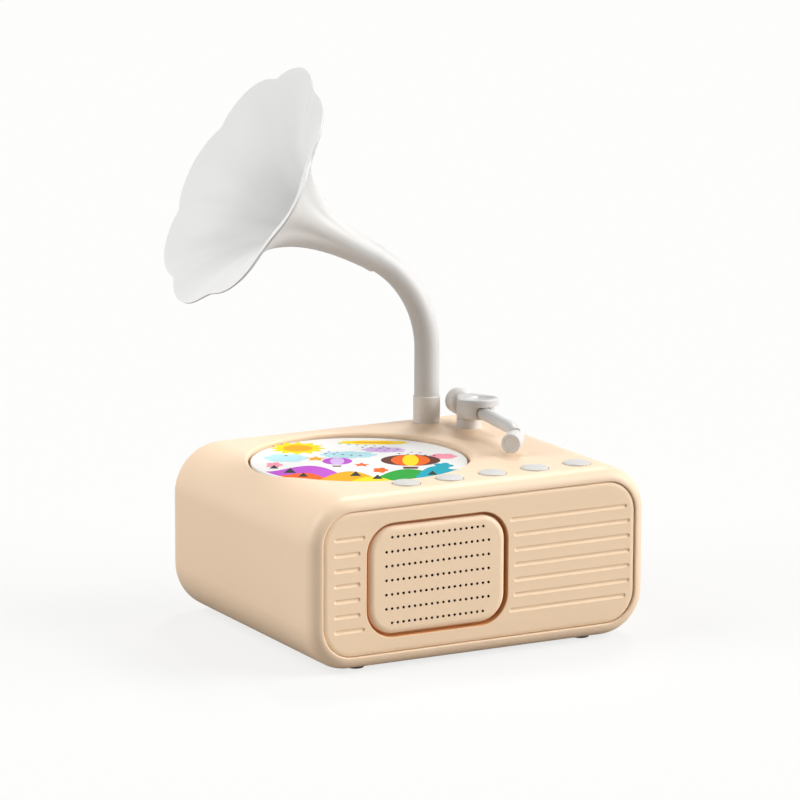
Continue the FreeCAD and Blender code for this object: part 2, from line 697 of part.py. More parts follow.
def make_base_cover():
    """Stepped plate that closes the base from below."""
    piece = new_piece("base_cover")
    gap = 2 * s.panel_gap
    plate = new_sketch(piece, "XY_Plane", 0, "plate")
    corner = s.cover_corner - s.panel_gap
    draw_rounded(plate, 0, 0, s.cover_width - gap, s.cover_depth - gap, corner)
    pad(piece, plate, s.cover_thick)
    plug = new_sketch(piece, "XY_Plane", 0, "plug")
    width = s.cover_width - 2 * s.cover_ledge - gap
    depth = s.cover_depth - 2 * s.cover_ledge - gap
    draw_rectangle(plug, 0, 0, width, depth)
    pad(piece, plug, s.wall)
    holes = new_sketch(piece, "XY_Plane", 0, "holes")
    for x, y in base_screw_points():
        draw_circle(holes, x, y, s.screw_radius + s.seat_gap)
    pocket(piece, holes, s.cover_thick, reverse=True)
    recesses = new_sketch(piece, "XY_Plane", 0, "recesses")
    for x, y in base_screw_points():
        draw_circle(recesses, x, y, s.screw_head + s.panel_gap)
    pocket(piece, recesses, s.cover_sink, reverse=True)
    place(piece, 0, 0, s.foot_proud)


def make_feet():
    """Four round rubber feet, each seated in its recess."""
    for number, (x, y) in enumerate(foot_points(), 1):
        piece = new_piece(f"foot_{number}")
        disc = new_sketch(piece, "XY_Plane", 0, "disc")
        draw_circle(disc, 0, 0, s.foot_radius - s.seat_gap)
        pad(piece, disc, s.foot_proud + s.foot_sink)
        place(piece, x, y)


# Front panel and speaker


def make_fascia():
    """Front panel with its engraved lines, the pocket for the grille and four clips."""
    piece = new_piece("front_fascia")
    face = front - s.fascia_inset
    gap = 2 * s.panel_gap
    plate = new_sketch(piece, "XZ_Plane", face, "plate")
    corner = window_corner - s.panel_gap
    draw_rounded(plate, 0, middle, window_width - gap, window_height - gap, corner)
    pad(piece, plate, s.fascia_thick, reverse=True)

    x = grille_x
    pocket_size = (s.grille_width + 2 * s.moat, s.grille_height + 2 * s.moat)
    pocket_corner = s.grille_corner + s.moat
    tray = new_sketch(piece, "XZ_Plane", face, "tray")
    wall = s.tray_wall
    draw_rounded(
        tray, x, middle, pocket_size[0] + 2 * wall, pocket_size[1] + 2 * wall, pocket_corner + wall
    )
    pad(piece, tray, s.moat_depth + wall, reverse=True)
    well = new_sketch(piece, "XZ_Plane", face, "grille_pocket")
    draw_rounded(well, x, middle, *pocket_size, pocket_corner)
    pocket(piece, well, s.moat_depth)
    left, right = x - pocket_size[0] / 2, x + pocket_size[0] / 2

    def pocket_edge(edge):
        box = edge.BoundBox
        inside = box.XMin > left.value - 0.1 and box.XMax < right.value + 0.1
        return lies_at("Y", -face)(edge) and inside

    fillet(piece, s.moat_round, pocket_edge)
    sound = new_sketch(piece, "XZ_Plane", face, "sound_hole")
    draw_circle(sound, x, middle, s.speaker_mouth)
    pocket(piece, sound, s.moat_depth + wall)
    pilots = new_sketch(piece, "XZ_Plane", pocket_back, "speaker_pilots")
    for across, up in speaker_points():
        draw_circle(pilots, x + across, middle + up, s.screw_radius)
    pocket(piece, pilots, s.screw_bite - s.seat_gap, reverse=True)

    # Each line stops a fixed way short of the grille, whose corners are round
    lines = new_sketch(piece, "XZ_Plane", face, "lines")
    half = s.groove_width / 2
    round_out = s.grille_corner + s.groove_margin
    near = s.grille_width / 2 + s.groove_margin - round_out
    high = s.grille_height / 2 + s.groove_margin - round_out
    for row in range(GROOVE_ROWS):
        rise = (row - (GROOVE_ROWS - 1) / 2) * s.groove_pitch
        past = max(abs(rise.value) - high.value, 0)
        bow = math.sqrt(max(1 - (past / round_out.value) ** 2, 0))
        reach = near + round_out * bow
        z = middle + rise
        ends = (
            (-window_width / 2 + s.groove_left, x - reach),
            (x + reach, window_width / 2 - s.groove_right),
        )
        for start, end in ends:
            draw_belt(lines, start + half, z, half, end - half, z, half)
    pocket(piece, lines, s.groove_depth)

    # Clips hook behind the ledge of the window, two above and two below
    for up in (-1, 1):
        for across in (-s.clip_out, measure(s.clip_out)):
            arm = new_sketch(piece, "XZ_Plane", face - s.fascia_thick, "clip")
            arm_z = middle + up * (hook_z - s.clip_thick / 2)
            draw_rectangle(arm, across, arm_z, s.clip_width, s.clip_thick)
            pad(piece, arm, s.shoulder_thick + s.seat_gap + s.clip_thick, reverse=True)
            hook_y = face - s.fascia_thick - s.shoulder_thick - s.seat_gap
            hook = new_sketch(piece, "XZ_Plane", hook_y, "hook")
            reach = s.clip_thick + s.shoulder_width / 2
            hook_middle = middle + up * (hook_z - s.clip_thick + reach / 2)
            draw_rectangle(hook, across, hook_middle, s.clip_width, reach)
            pad(piece, hook, s.clip_thick, reverse=True)


def make_grille():
    """Pillow-shaped plate with seven rows of small holes, standing on a skirt."""
    piece = new_piece("speaker_grille")
    outline = new_sketch(piece, "XZ_Plane", 0, "outline")
    draw_rounded(outline, 0, 0, s.grille_width, s.grille_height, s.grille_corner)
    pad(piece, outline, s.moat_depth, reverse=True)
    fillet(piece, s.grille_round, lies_at("Y", 0))
    hollow = new_sketch(piece, "XZ_Plane", -s.moat_depth, "hollow")
    skirt = 2 * s.grille_skirt
    draw_rounded(
        hollow, 0, 0, s.grille_width - skirt, s.grille_height - skirt, s.grille_corner - s.grille_skirt
    )
    pocket(piece, hollow, s.moat_depth - s.grille_thick, reverse=True)
    # The long rows lie between the two short ones
    for count, rows, spacing in ((LONG_ROW_HOLES, LONG_ROWS, 1), (SHORT_ROW_HOLES, 2, LONG_ROWS + 1)):
        start = -(count - 1) / 2 * s.hole_pitch
        low = -(rows - 1) / 2 * spacing * s.hole_rows
        hole = new_sketch(piece, "XZ_Plane", 0, "hole")
        draw_circle(hole, start, low, s.hole_radius)
        cut = pocket(piece, hole, s.grille_thick)
        doc.recompute()
        pattern = piece.newObject("PartDesign::LinearPattern", "rows")
        pattern.Originals = [cut]
        pattern.Direction = (hole, ["H_Axis"])
        tie(pattern, "Length", (count - 1) * s.hole_pitch)
        pattern.Occurrences = count
        pattern.Direction2 = (hole, ["V_Axis"])
        tie(pattern, "Length2", (rows - 1) * spacing * s.hole_rows)
        pattern.Occurrences2 = rows
        pattern.Refine = False
        piece.Tip = pattern
    place(piece, grille_x, s.fascia_inset - front, middle)


def make_speaker():
    """Round driver behind the grille: frame, cone and magnet, on the axis of the grille."""
    at = (grille_x, -pocket_back, middle)
    frame = new_piece("speaker_frame")
    flange = new_sketch(frame, "XZ_Plane", 0, "flange")
    draw_rounded(flange, 0, 0, s.speaker_size, s.speaker_size, s.speaker_size / 8)
    pad(frame, flange, s.speaker_flange, reverse=True)
    mouth, back = s.speaker_mouth, s.speaker_deep
    inside = s.speaker_neck - s.speaker_metal
    rim = mouth + s.speaker_edge
    coil = s.cone_coil + s.speaker_metal
    basket = new_sketch(frame, "XY_Plane", 0, "basket")
    draw_polygon(
        basket,
        [
            (coil, back - s.speaker_metal),
            (inside, back - s.speaker_metal),
            (mouth, s.speaker_flange),
            (mouth, 0),
            (rim, 0),
            (rim, s.speaker_flange),
            (s.speaker_neck, back),
            (coil, back),
        ],
    )
    revolve(frame, basket)
    opening = new_sketch(frame, "XZ_Plane", 0, "opening")
    draw_circle(opening, 0, 0, mouth)
    pocket(frame, opening, s.speaker_flange)
    holes = new_sketch(frame, "XZ_Plane", 0, "holes")
    for x, y in speaker_points():
        draw_circle(holes, x, y, s.screw_radius + s.seat_gap)
    pocket(frame, holes, s.speaker_flange)
    place(frame, *at)

    cone = new_piece("speaker_cone")
    profile = new_sketch(cone, "XY_Plane", 0, "profile")
    thick, throat = s.cone_thick, s.cone_coil
    edge = mouth - s.seat_gap
    cap = back - s.cone_cap
    lean = cap + 2 * thick
    end = back - s.speaker_metal - s.cone_thick
    draw_polygon(
        profile,
        [
            (0, cap - thick),
            (throat, cap),
            (edge - s.cone_roll, thick),
            (edge, thick),
            (edge, 2 * thick),
            (edge - s.cone_roll + thick, 2 * thick),
            (throat + thick, lean),
            (throat + thick, end),
            (throat, end),
            (throat, cap + thick),
            (0, cap),
        ],
    )
    revolve(cone, profile)
    place(cone, *at)

    magnet = new_piece("speaker_magnet")
    disc = new_sketch(magnet, "XZ_Plane", -back, "disc")
    draw_circle(disc, 0, 0, s.magnet_radius)
    pad(magnet, disc, s.magnet_thick, reverse=True)
    fillet(magnet, s.magnet_round, lies_at("Y", back + s.magnet_thick))
    place(magnet, *at)


# Deck: disc, platter and its drive


def make_story_disc():
    """Plain printed disc with softly rounded edges."""
    piece = new_piece("story_disc")
    disc = new_sketch(piece, "XY_Plane", 0, "disc")
    draw_circle(disc, 0, 0, s.disc_radius)
    pad(piece, disc, s.disc_thick)
    fillet(piece, s.disc_thick / 4, round_edge("Z", s.disc_thick, s.disc_radius))
    place(piece, disc_x, disc_y, deck - s.disc_sink - s.disc_thick)


def make_platter():
    """Turntable under the disc, with a raised rim that carries it."""
    piece = new_piece("turntable_platter")
    disc = new_sketch(piece, "XY_Plane", 0, "disc")
    radius = s.disc_radius - s.platter_edge
    draw_circle(disc, 0, 0, radius)
    pad(piece, disc, s.platter_thick)
    sunk = new_sketch(piece, "XY_Plane", s.platter_thick, "sunk")
    draw_circle(sunk, 0, 0, radius - 2 * s.platter_thick)
    draw_circle(sunk, 0, 0, 2 * s.platter_thick)
    pocket(piece, sunk, s.platter_hollow)
    bore = new_sketch(piece, "XY_Plane", 0, "bore")
    draw_circle(bore, 0, 0, s.shaft_radius + s.seat_gap)
    pocket(piece, bore, s.platter_thick * 0.8, reverse=True)
    place(piece, disc_x, disc_y, deck - platter_top - s.platter_thick)


def make_shaft():
    """Platter shaft, from the platter down past the drive gear."""
    piece = new_piece("platter_shaft")
    top = deck - platter_top - s.platter_thick * 0.2 - s.seat_gap
    bottom = gear_top - s.gear_thick - s.gear_clear
    rod = new_sketch(piece, "XY_Plane", 0, "rod")
    draw_circle(rod, 0, 0, s.shaft_radius)
    pad(piece, rod, top - bottom)
    place(piece, disc_x, disc_y, bottom)

    bush = new_piece("platter_bush")
    sleeve = new_sketch(bush, "XY_Plane", 0, "sleeve")
    draw_circle(sleeve, 0, 0, bush_radius)
    draw_circle(sleeve, 0, 0, s.shaft_radius + s.running_gap)
    pad(bush, sleeve, s.well_floor)
    flange = new_sketch(bush, "XY_Plane", s.well_floor, "flange")
    draw_circle(flange, 0, 0, bush_radius + s.bush_wall)
    draw_circle(flange, 0, 0, s.shaft_radius + s.running_gap)
    pad(bush, flange, s.bush_flange)
    place(bush, disc_x, disc_y, well_under)

    clip = new_piece("shaft_clip")
    ring = new_sketch(clip, "XY_Plane", 0, "ring")
    draw_circle(ring, 0, 0, 2 * s.shaft_radius)
    draw_circle(ring, 0, 0, s.shaft_radius + s.seat_gap)
    pad(clip, ring, s.gear_clear / 2)
    place(clip, disc_x, disc_y, gear_top - s.gear_thick - s.seat_gap - s.gear_clear / 2)


def gear_outline(teeth, shift):
    """Closed outline of an involute gear, its teeth thinned by half the backlash."""
    module = s.gear_module.value
    pitch_radius = module * teeth / 2
    base_radius = pitch_radius * math.cos(math.radians(PRESSURE_ANGLE))
    tip, root = pitch_radius + module, pitch_radius - 1.25 * module
    start = max(base_radius, root)
    half_tooth = math.pi / (2 * teeth) - s.gear_backlash.value / (2 * pitch_radius)

    def roll(radius):
        lean = math.acos(min(base_radius / radius, 1))
        return math.tan(lean) - lean

    at_pitch = half_tooth + roll(pitch_radius)
    flank = [(start + (tip - start) * step / 2) for step in range(3)]
    points = []
    for tooth in range(teeth):
        centre = 2 * math.pi * (tooth + shift) / teeth
        rising = [(radius, centre - at_pitch + roll(radius)) for radius in flank]
        falling = [(radius, 2 * centre - turn) for radius, turn in reversed(rising)]
        foot = [(root, rising[0][1])]
        heel = [(root, falling[-1][1])]
        for radius, turn in foot + rising + falling + heel:
            points.append(Vector(radius * math.cos(turn), radius * math.sin(turn), 0))
    return Part.makePolygon(points + points[:1])


def gear_solid(teeth, shift, thick, bore):
    """An involute gear standing on z = 0, with a round bore."""
    blank = Part.Face(gear_outline(teeth, shift)).extrude(Vector(0, 0, thick))
    return blank.cut(Part.makeCylinder(bore, thick))


def make_gears():
    """Drive gear on the platter shaft and the motor's pinion, in mesh along -Y."""
    bore = (s.shaft_radius + s.seat_gap).value
    thick = s.gear_thick.value
    wheel = gear_solid(GEAR_TEETH, -GEAR_TEETH / 4, thick, bore)
    hub = Part.makeCylinder(s.gear_hub.value, (s.gear_clear - s.press_gap).value)
    hub.translate(Vector(0, 0, thick))
    windows = []
    for number in range(GEAR_WINDOWS):
        turn = 2 * math.pi * (number + 0.5) / GEAR_WINDOWS
        window = Part.makeCylinder(s.gear_window.value, thick)
        out = s.gear_window_out.value
        window.translate(Vector(out * math.cos(turn), out * math.sin(turn), 0))
        windows.append(window)
    wheel = wheel.fuse(hub).cut(windows + [Part.makeCylinder(bore, 2 * thick)])
    gear = shape_piece("drive_gear", wheel)
    low = gear_top.value - thick
    gear.Placement = FreeCAD.Placement(Vector(disc_x.value, disc_y.value, low), FreeCAD.Rotation())

    # The gear has a tooth towards -Y, and the pinion a gap towards +Y
    shift = PINION_TEETH / 4 + 0.5
    length = (s.gear_thick + s.pinion_extra).value
    small = gear_solid(PINION_TEETH, shift, length, (s.motor_shaft_radius + s.seat_gap).value)
    pinion = shape_piece("motor_pinion", small)
    spot = Vector(disc_x.value, motor_y.value, low - s.pinion_extra.value / 2)
    pinion.Placement = FreeCAD.Placement(spot, FreeCAD.Rotation())


def make_motor():
    """Small motor under the disc well, its turning shaft, and the bracket that hangs it."""
    can_top = bracket_under
    boss = 3 * s.motor_shaft_radius
    motor = new_piece("motor")
    can = new_sketch(motor, "XY_Plane", -s.motor_length, "can")
    draw_circle(can, 0, 0, s.motor_radius)
    pad(motor, can, s.motor_length)
    flats = new_sketch(motor, "XY_Plane", 0, "flats")
    wide = s.motor_radius - s.motor_flat + s.bracket_thick
    for across in (-1, 1):
        middle_x = across * (s.motor_flat + wide / 2)
        draw_rectangle(flats, middle_x, 0, wide, 3 * s.motor_radius)
    pocket(motor, flats, s.motor_length)
    collar = new_sketch(motor, "XY_Plane", 0, "collar")
    draw_circle(collar, 0, 0, boss)
    pad(motor, collar, s.bracket_thick)
    bore = new_sketch(motor, "XY_Plane", s.bracket_thick, "bore")
    draw_circle(bore, 0, 0, s.motor_shaft_radius + s.running_gap)
    pocket(motor, bore, s.bracket_thick + 4 * s.motor_shaft_radius)
    place(motor, disc_x, motor_y, can_top)

    shaft = new_piece("motor_shaft")
    rod = new_sketch(shaft, "XY_Plane", 0, "rod")
    draw_circle(rod, 0, 0, s.motor_shaft_radius)
    deep = 3 * s.motor_shaft_radius
    pad(shaft, rod, deep + s.bracket_thick + s.pinion_extra + s.gear_thick)
    place(shaft, disc_x, motor_y, can_top - deep)

    bracket = new_piece("motor_bracket")
    plate = new_sketch(bracket, "XY_Plane", 0, "plate")
    depth = s.bracket_depth
    shift_y = -s.bracket_post_front / 2
    draw_rounded(plate, 0, shift_y, s.bracket_width, depth, 2 * s.post_radius)
    pad(bracket, plate, s.bracket_thick)
    posts = new_sketch(bracket, "XY_Plane", 0, "posts")
    for x, y in bracket_points():
        draw_circle(posts, x, y, s.post_radius)
    pad(bracket, posts, well_under - bracket_under)
    eye = new_sketch(bracket, "XY_Plane", 0, "eye")
    draw_circle(eye, 0, 0, boss + s.seat_gap)
    pocket(bracket, eye, s.bracket_thick, reverse=True)
    holes = new_sketch(bracket, "XY_Plane", 0, "holes")
    for x, y in bracket_points():
        draw_circle(holes, x, y, s.screw_radius + s.seat_gap)
    pocket(bracket, holes, well_under - bracket_under, reverse=True)
    place(bracket, disc_x, motor_y, bracket_under)


# Buttons and electronics


def make_buttons():
    """Five round buttons, each with a domed top, two tabs that hold it in and a stem."""
    switch_top = board_top + s.switch_height + s.plunger_height
    stem_under = switch_top + s.button_travel + s.press_gap - deck
    tab_top = -s.wall - s.seat_gap
    for number in range(BUTTONS):
        piece = new_piece(f"button_{number + 1}")
        cap = new_sketch(piece, "XY_Plane", tab_top - s.tab_thick, "cap")
        draw_circle(cap, 0, 0, s.button_radius)
        pad(piece, cap, s.button_proud - tab_top + s.tab_thick)
        dome = new_sketch(piece, "XZ_Plane", 0, "dome")
        low, high = s.button_proud, s.button_proud + s.button_crown
        edge = s.button_radius
        points = [(0, 0), (edge, 0), (edge, low)]
        for step in (0.92, 0.75, 0.5, 0.25):
            points.append((edge * step, low + s.button_crown * (1 - step**4)))
        points.append((0, high))
        draw_polygon(dome, points)
        revolve(piece, dome)
        tabs = new_sketch(piece, "XY_Plane", tab_top - s.tab_thick, "tabs")
        draw_rectangle(tabs, 0, 0, 2 * s.tab_reach, s.tab_width)
        pad(piece, tabs, s.tab_thick)
        stem = new_sketch(piece, "XY_Plane", stem_under, "stem")
        draw_circle(stem, 0, 0, s.stem_radius)
        pad(piece, stem, tab_top - stem_under)
        place(piece, button_x(number), button_y, deck)


def make_boards():
    """Main board under the deck and charging board at the back, with what is soldered on them."""
    board = new_piece("circuit_board")
    plate = new_sketch(board, "XY_Plane", 0, "plate")
    draw_rectangle(plate, board_x, board_y, s.board_width, s.board_depth)
    pad(board, plate, s.board_thick)
    holes = new_sketch(board, "XY_Plane", 0, "holes")
    for x, y in board_screw_points():
        draw_circle(holes, x, y, s.screw_radius + s.seat_gap)
    pocket(board, holes, s.board_thick, reverse=True)
    place(board, 0, 0, board_top - s.board_thick)

    switches = new_piece("button_switches")
    bases = new_sketch(switches, "XY_Plane", 0, "bases")
    plungers = new_sketch(switches, "XY_Plane", s.switch_height, "plungers")
    for number in range(BUTTONS):
        draw_rectangle(bases, button_x(number), button_y, s.switch_size, s.switch_size)
        draw_circle(plungers, button_x(number), button_y, s.plunger_radius)
    switches.AllowCompound = True
    pad(switches, bases, s.switch_height)
    pad(switches, plungers, s.plunger_height)
    place(switches, 0, 0, board_top)

    charge = new_piece("charge_board")
    plate = new_sketch(charge, "XY_Plane", 0, "plate")
    draw_rectangle(plate, charge_x, charge_y, s.charge_width, s.charge_depth)
    pad(charge, plate, s.charge_thick)
    holes = new_sketch(charge, "XY_Plane", 0, "holes")
    for x, y in charge_points():
        draw_circle(holes, x, y, s.screw_radius + s.seat_gap)
    pocket(charge, holes, s.charge_thick, reverse=True)
    place(charge, 0, 0, s.port_up - s.charge_thick)

    port = new_piece("charging_socket")
    half = s.port_height / 2
    reach = s.port_width / 2 - half
    shell = new_sketch(port, "XZ_Plane", 0, "shell")
    draw_belt(shell, -reach, 0, half, reach, 0, half)
    pad(port, shell, s.port_length)
    hollow = new_sketch(port, "XZ_Plane", 0, "hollow")
    inner = half - s.port_wall
    draw_belt(hollow, -reach, 0, inner, reach, 0, inner)
    pocket(port, hollow, s.port_length - 2 * s.port_wall, reverse=True)
    tongue = new_sketch(port, "XZ_Plane", s.port_length / 8, "tongue")
    draw_rectangle(tongue, 0, 0, 2 * reach, half / 2)
    pad(port, tongue, s.port_length * 0.8)
    place(port, port_x, front - s.port_inset, port_z)

    power = new_piece("power_switch")
    box = new_sketch(power, "XY_Plane", 0, "box")
    centre = slider_x + s.slider_travel / 2
    face = front - s.wall - s.seat_gap
    draw_rectangle(box, centre, face - s.power_depth / 2, s.power_width, s.power_depth)
    pad(power, box, s.power_height)
    channel = new_sketch(power, "XZ_Plane", -face, "channel")
    loose = 4 * s.seat_gap
    draw_rectangle(
        channel,
        centre,
        s.power_height / 2,
        s.slider_width + s.slider_travel + loose,
        s.slider_height + loose,
    )
    pocket(power, channel, s.slider_bite + loose, reverse=True)
    place(power, 0, 0, s.port_up)

    slider = new_piece("power_slider")
    knob = new_sketch(slider, "XZ_Plane", -(face - s.slider_bite), "knob")
    draw_rectangle(knob, 0, 0, s.slider_width, s.slider_height)
    long = s.slider_bite + s.seat_gap + s.wall + s.slider_proud
    pad(slider, knob, long, reverse=True)
    place(slider, slider_x, 0, slider_z)


def make_battery():
    """One round cell in an open holder on the base cover."""
    holder = new_piece("battery_holder")
    wide = s.battery_length + 2 * s.holder_wall + 2 * s.panel_gap
    deep = 2 * s.battery_radius + 2 * s.holder_wall + 2 * s.panel_gap
    box = new_sketch(holder, "XY_Plane", 0, "box")
    draw_rectangle(box, 0, 0, wide, deep)
    pad(holder, box, s.holder_height)
    bed = new_sketch(holder, "XY_Plane", s.holder_wall, "bed")
    draw_rectangle(bed, 0, 0, wide - 2 * s.holder_wall, deep - 2 * s.holder_wall)
    pocket(holder, bed, s.holder_height, reverse=True)
    place(holder, -s.battery_left, s.battery_back, base_inside)

    cell = new_piece("battery")
    profile = new_sketch(cell, "XZ_Plane", 0, "profile")
    end = s.battery_length / 2
    nub = s.battery_nub
    draw_polygon(
        profile,
        [
            (-end, 0),
            (end, 0),
            (end, s.battery_radius / 3),
            (end - nub, s.battery_radius / 3),
            (end - nub, s.battery_radius),
            (-end, s.battery_radius),
        ],
    )
    revolve(cell, profile, "H_Axis")
    rest = base_inside + s.holder_wall + s.seat_gap + s.battery_radius
    place(cell, -s.battery_left, s.battery_back, rest)


# Screws and nuts


def make_screws(label, points, shank, upward=True, upright=True):
    """A set of like screws: pan heads with the shanks going up, or in from the back."""
    piece = new_piece(label)
    piece.AllowCompound = True
    role = "XY_Plane" if upright else "XZ_Plane"
    heads = new_sketch(piece, role, 0, "heads")
    shanks = new_sketch(piece, role, 0, "shanks")
    for x, y in points:
        draw_circle(heads, x, y, s.screw_head)
        draw_circle(shanks, x, y, s.screw_radius - s.seat_gap)
    pad(piece, heads, s.screw_head_thick, reverse=upward)
    pad(piece, shanks, shank, reverse=not upward)
    return piece


def make_all_screws():
    """Screws of the boards, the bracket, the speaker and the base cover."""
    length = s.board_thick + 2 * s.screw_bite - s.seat_gap
    board = make_screws("board_screws", board_screw_points(), length)
    place(board, 0, 0, board_top - s.board_thick)

    length = well_under - bracket_under + s.screw_bite - s.seat_gap
    bracket = make_screws("bracket_screws", bracket_points(), length)
    place(bracket, disc_x, motor_y, bracket_under)

    length = s.charge_thick + 2 * s.screw_bite - s.seat_gap
    charge = make_screws("charge_screws", charge_points(), length, upward=False)
    place(charge, 0, 0, s.port_up)

    length = s.speaker_flange + s.screw_bite - 2 * s.seat_gap
    speaker = make_screws("speaker_screws", speaker_points(), length, upright=False)
    place(speaker, grille_x, s.speaker_flange - pocket_back, middle)

    # The heads lie in the recesses of the cover, the shanks end short of the bosses' tops
    length = s.cover_thick + s.boss_height - s.screw_bite - s.seat_gap - s.cover_sink
    base = make_screws("base_screws", base_screw_points(), length)
    place(base, 0, 0, s.foot_proud + s.cover_sink)


def make_nut(label, x, y, hole, thick):
    """Hexagon nut under the deck."""
    piece = new_piece(label)
    profile = new_sketch(piece, "XY_Plane", 0, "hexagon")
    side = s.nut_side / math.cos(math.radians(30))
    turns = [math.radians(60 * step) for step in range(6)]
    draw_polygon(profile, [(side * math.cos(turn), side * math.sin(turn)) for turn in turns])
    draw_circle(profile, 0, 0, hole)
    pad(piece, profile, thick)
    place(piece, x, y, deck - s.wall - thick)


# Horn


def make_collar():
    """Socket of the horn: a sleeve on the deck with a spigot through it."""
    piece = new_piece("horn_collar")
    sleeve = new_sketch(piece, "XY_Plane", 0, "sleeve")
    draw_circle(sleeve, 0, 0, s.collar_radius)
    pad(piece, sleeve, s.collar_height)
    spigot = new_sketch(piece, "XY_Plane", 0, "spigot")
    draw_circle(spigot, 0, 0, s.collar_spigot)
    pad(piece, spigot, s.collar_drop, reverse=True)
    fillet(piece, s.bell_wall / 2, round_edge("Z", s.collar_height, s.collar_radius))
    bore = new_sketch(piece, "XY_Plane", s.collar_height, "bore")
    draw_circle(bore, 0, 0, s.tube_spigot + s.running_gap)
    pocket(piece, bore, s.tube_plug + s.seat_gap * 10)
    place(piece, horn_x, horn_y, deck)


def make_tube():
    """Hollow tube that rises, bends over to the left and carries the bell."""
    piece = new_piece("horn_tube")
    bend = math.radians(s.bend_angle.value)
    start = s.collar_height + s.seat_gap
    across, rise = math.sin(bend), math.cos(bend)
    swing = s.bend_radius * (1 - math.cos(bend))
    lift = s.tube_rise + s.bend_radius * math.sin(bend)

    def spine(before, after, name):
        """The tube's centre line, longer at its ends by the given amounts."""
        path = new_sketch(piece, "XZ_Plane", 0, name)
        low, turn_at = Vector(0, (start - before).value, 0), Vector(0, s.tube_rise.value, 0)
        radius = s.bend_radius.value
        circle = Part.Circle(Vector(-radius, s.tube_rise.value, 0), Vector(0, 0, 1), radius)
        high = Vector(-swing.value, lift.value, 0)
        far = Vector(-(swing + after * across).value, (lift + after * rise).value, 0)
        path.addGeometry(Part.LineSegment(low, turn_at))
        path.addGeometry(Part.ArcOfCircle(circle, 0, bend))
        path.addConstraint(Sketcher.Constraint("Tangent", 0, 2, 1, 1))
        fix(path, "DistanceX", (-1, 1, 0, 1), 0)
        fix(path, "DistanceY", (-1, 1, 0, 1), start - before)
        fix(path, "DistanceX", (-1, 1, 0, 2), 0)
        fix(path, "DistanceY", (-1, 1, 0, 2), s.tube_rise)
        fix(path, "Radius", (1,), s.bend_radius)
        fix(path, "DistanceY", (-1, 1, 1, 2), lift)
        if after.value > 0:
            path.addGeometry(Part.LineSegment(high, far))
            path.addConstraint(Sketcher.Constraint("Tangent", 1, 2, 2, 1))
            fix(path, "Distance", (2,), after)
        return path

    def sweep(path, height, radius, kind):
        """A round section swept along a centre line."""
        ring = new_sketch(piece, "XY_Plane", height, "section")
        draw_circle(ring, 0, 0, radius)
        feature = piece.newObject(kind, "swept")
        feature.Profile = ring
        feature.Spine = (path, [])
        feature.Mode = "Standard"
        doc.recompute()

    sweep(spine(measure(0), measure(0), "tube_line"), start, s.tube_radius, "PartDesign::AdditivePipe")
    plug = s.tube_plug
    sweep(spine(plug, plug, "plug_line"), start - plug, s.tube_spigot, "PartDesign::AdditivePipe")
    sweep(spine(plug, plug, "bore_line"), start - plug, s.tube_bore, "PartDesign::SubtractivePipe")
    place(piece, horn_x, horn_y, deck, s.horn_turn)


def make_bell():
    """Thin flared bell whose rim swells into eight petals."""
    length, wall = s.bell_length.value, s.bell_wall.value
    core = s.bell_core.value
    straight = s.neck_radius.value - core
    growth = math.log((s.bell_radius.value - straight) / core) / length

    def radius(along):
        """Radius of the flare, growing like an exponential horn."""
        return straight + core * math.exp(growth * along)

    def petal(turn):
        """Petal outline round the rim: 1 on a crest, -1 in the notch between two."""
        return 2 * math.sqrt(math.sin(PETALS * turn / 2) ** 2 + 0.02) - 1

    def ring(along, inward):
        """One closed section of the wall's outside, or of its inside."""
        slope = math.atan(core * growth * math.exp(growth * along))
        size = radius(along) - inward * math.cos(slope)
        reach = along + inward * math.sin(slope)
        swell = s.bell_petal.value * (along / length) ** 4
        points = []
        count = 6 * PETALS
        for step in range(count):
            turn = 2 * math.pi * step / count
            r = size + swell * petal(turn)
            points.append(Vector(r * math.cos(turn), r * math.sin(turn), reach))
        curve = Part.BSplineCurve()
        curve.interpolate(Points=points, PeriodicFlag=True)
        return Part.Wire(curve.toShape())

    stations = [length * share for share in (0, 0.14, 0.3, 0.45, 0.58, 0.69, 0.78, 0.86, 0.93, 1)]
    outside = [ring(along, 0) for along in stations]
    inside = [ring(along, wall) for along in stations]
    outer = Part.makeLoft(outside, False)
    inner = Part.makeLoft(inside, False)
    rim = Part.makeRuledSurface(outside[-1].Edges[0], inside[-1].Edges[0])
    throat = Part.makeRuledSurface(outside[0].Edges[0], inside[0].Edges[0])
    skin = Part.Compound(outer.Faces + inner.Faces + [rim, throat])
    skin.sewShape()
    bell = Part.Solid(skin.Shells[0])
    if bell.Volume < 0:
        bell.reverse()
    lining = Part.makeCylinder(s.neck_radius.value - wall / 2, s.tube_plug.value + wall)
    socket = Part.makeCylinder((s.tube_spigot + s.seat_gap).value, s.tube_plug.value + s.panel_gap.value)
    throat_bore = Part.makeCylinder(s.tube_bore.value, s.tube_plug.value + wall)
    bell = bell.fuse(lining.cut([socket, throat_bore]))

    bend = s.bend_angle.value
    swing = s.bend_radius.value * (1 - math.cos(math.radians(bend)))
    lift = s.tube_rise.value + s.bend_radius.value * math.sin(math.radians(bend))
    tilt = FreeCAD.Rotation(Vector(0, 1, 0), -bend)
    spin = FreeCAD.Rotation(Vector(0, 0, 1), 360 / PETALS / 2)
    local = FreeCAD.Placement(Vector(-swing, 0, lift), tilt.multiply(spin))
    stand = FreeCAD.Placement(
        Vector(horn_x.value, horn_y.value, deck.value),
        FreeCAD.Rotation(Vector(0, 0, 1), s.horn_turn.value),
    )
    piece = shape_piece("horn_bell", bell)
    piece.Placement = stand.multiply(local)


# Tonearm


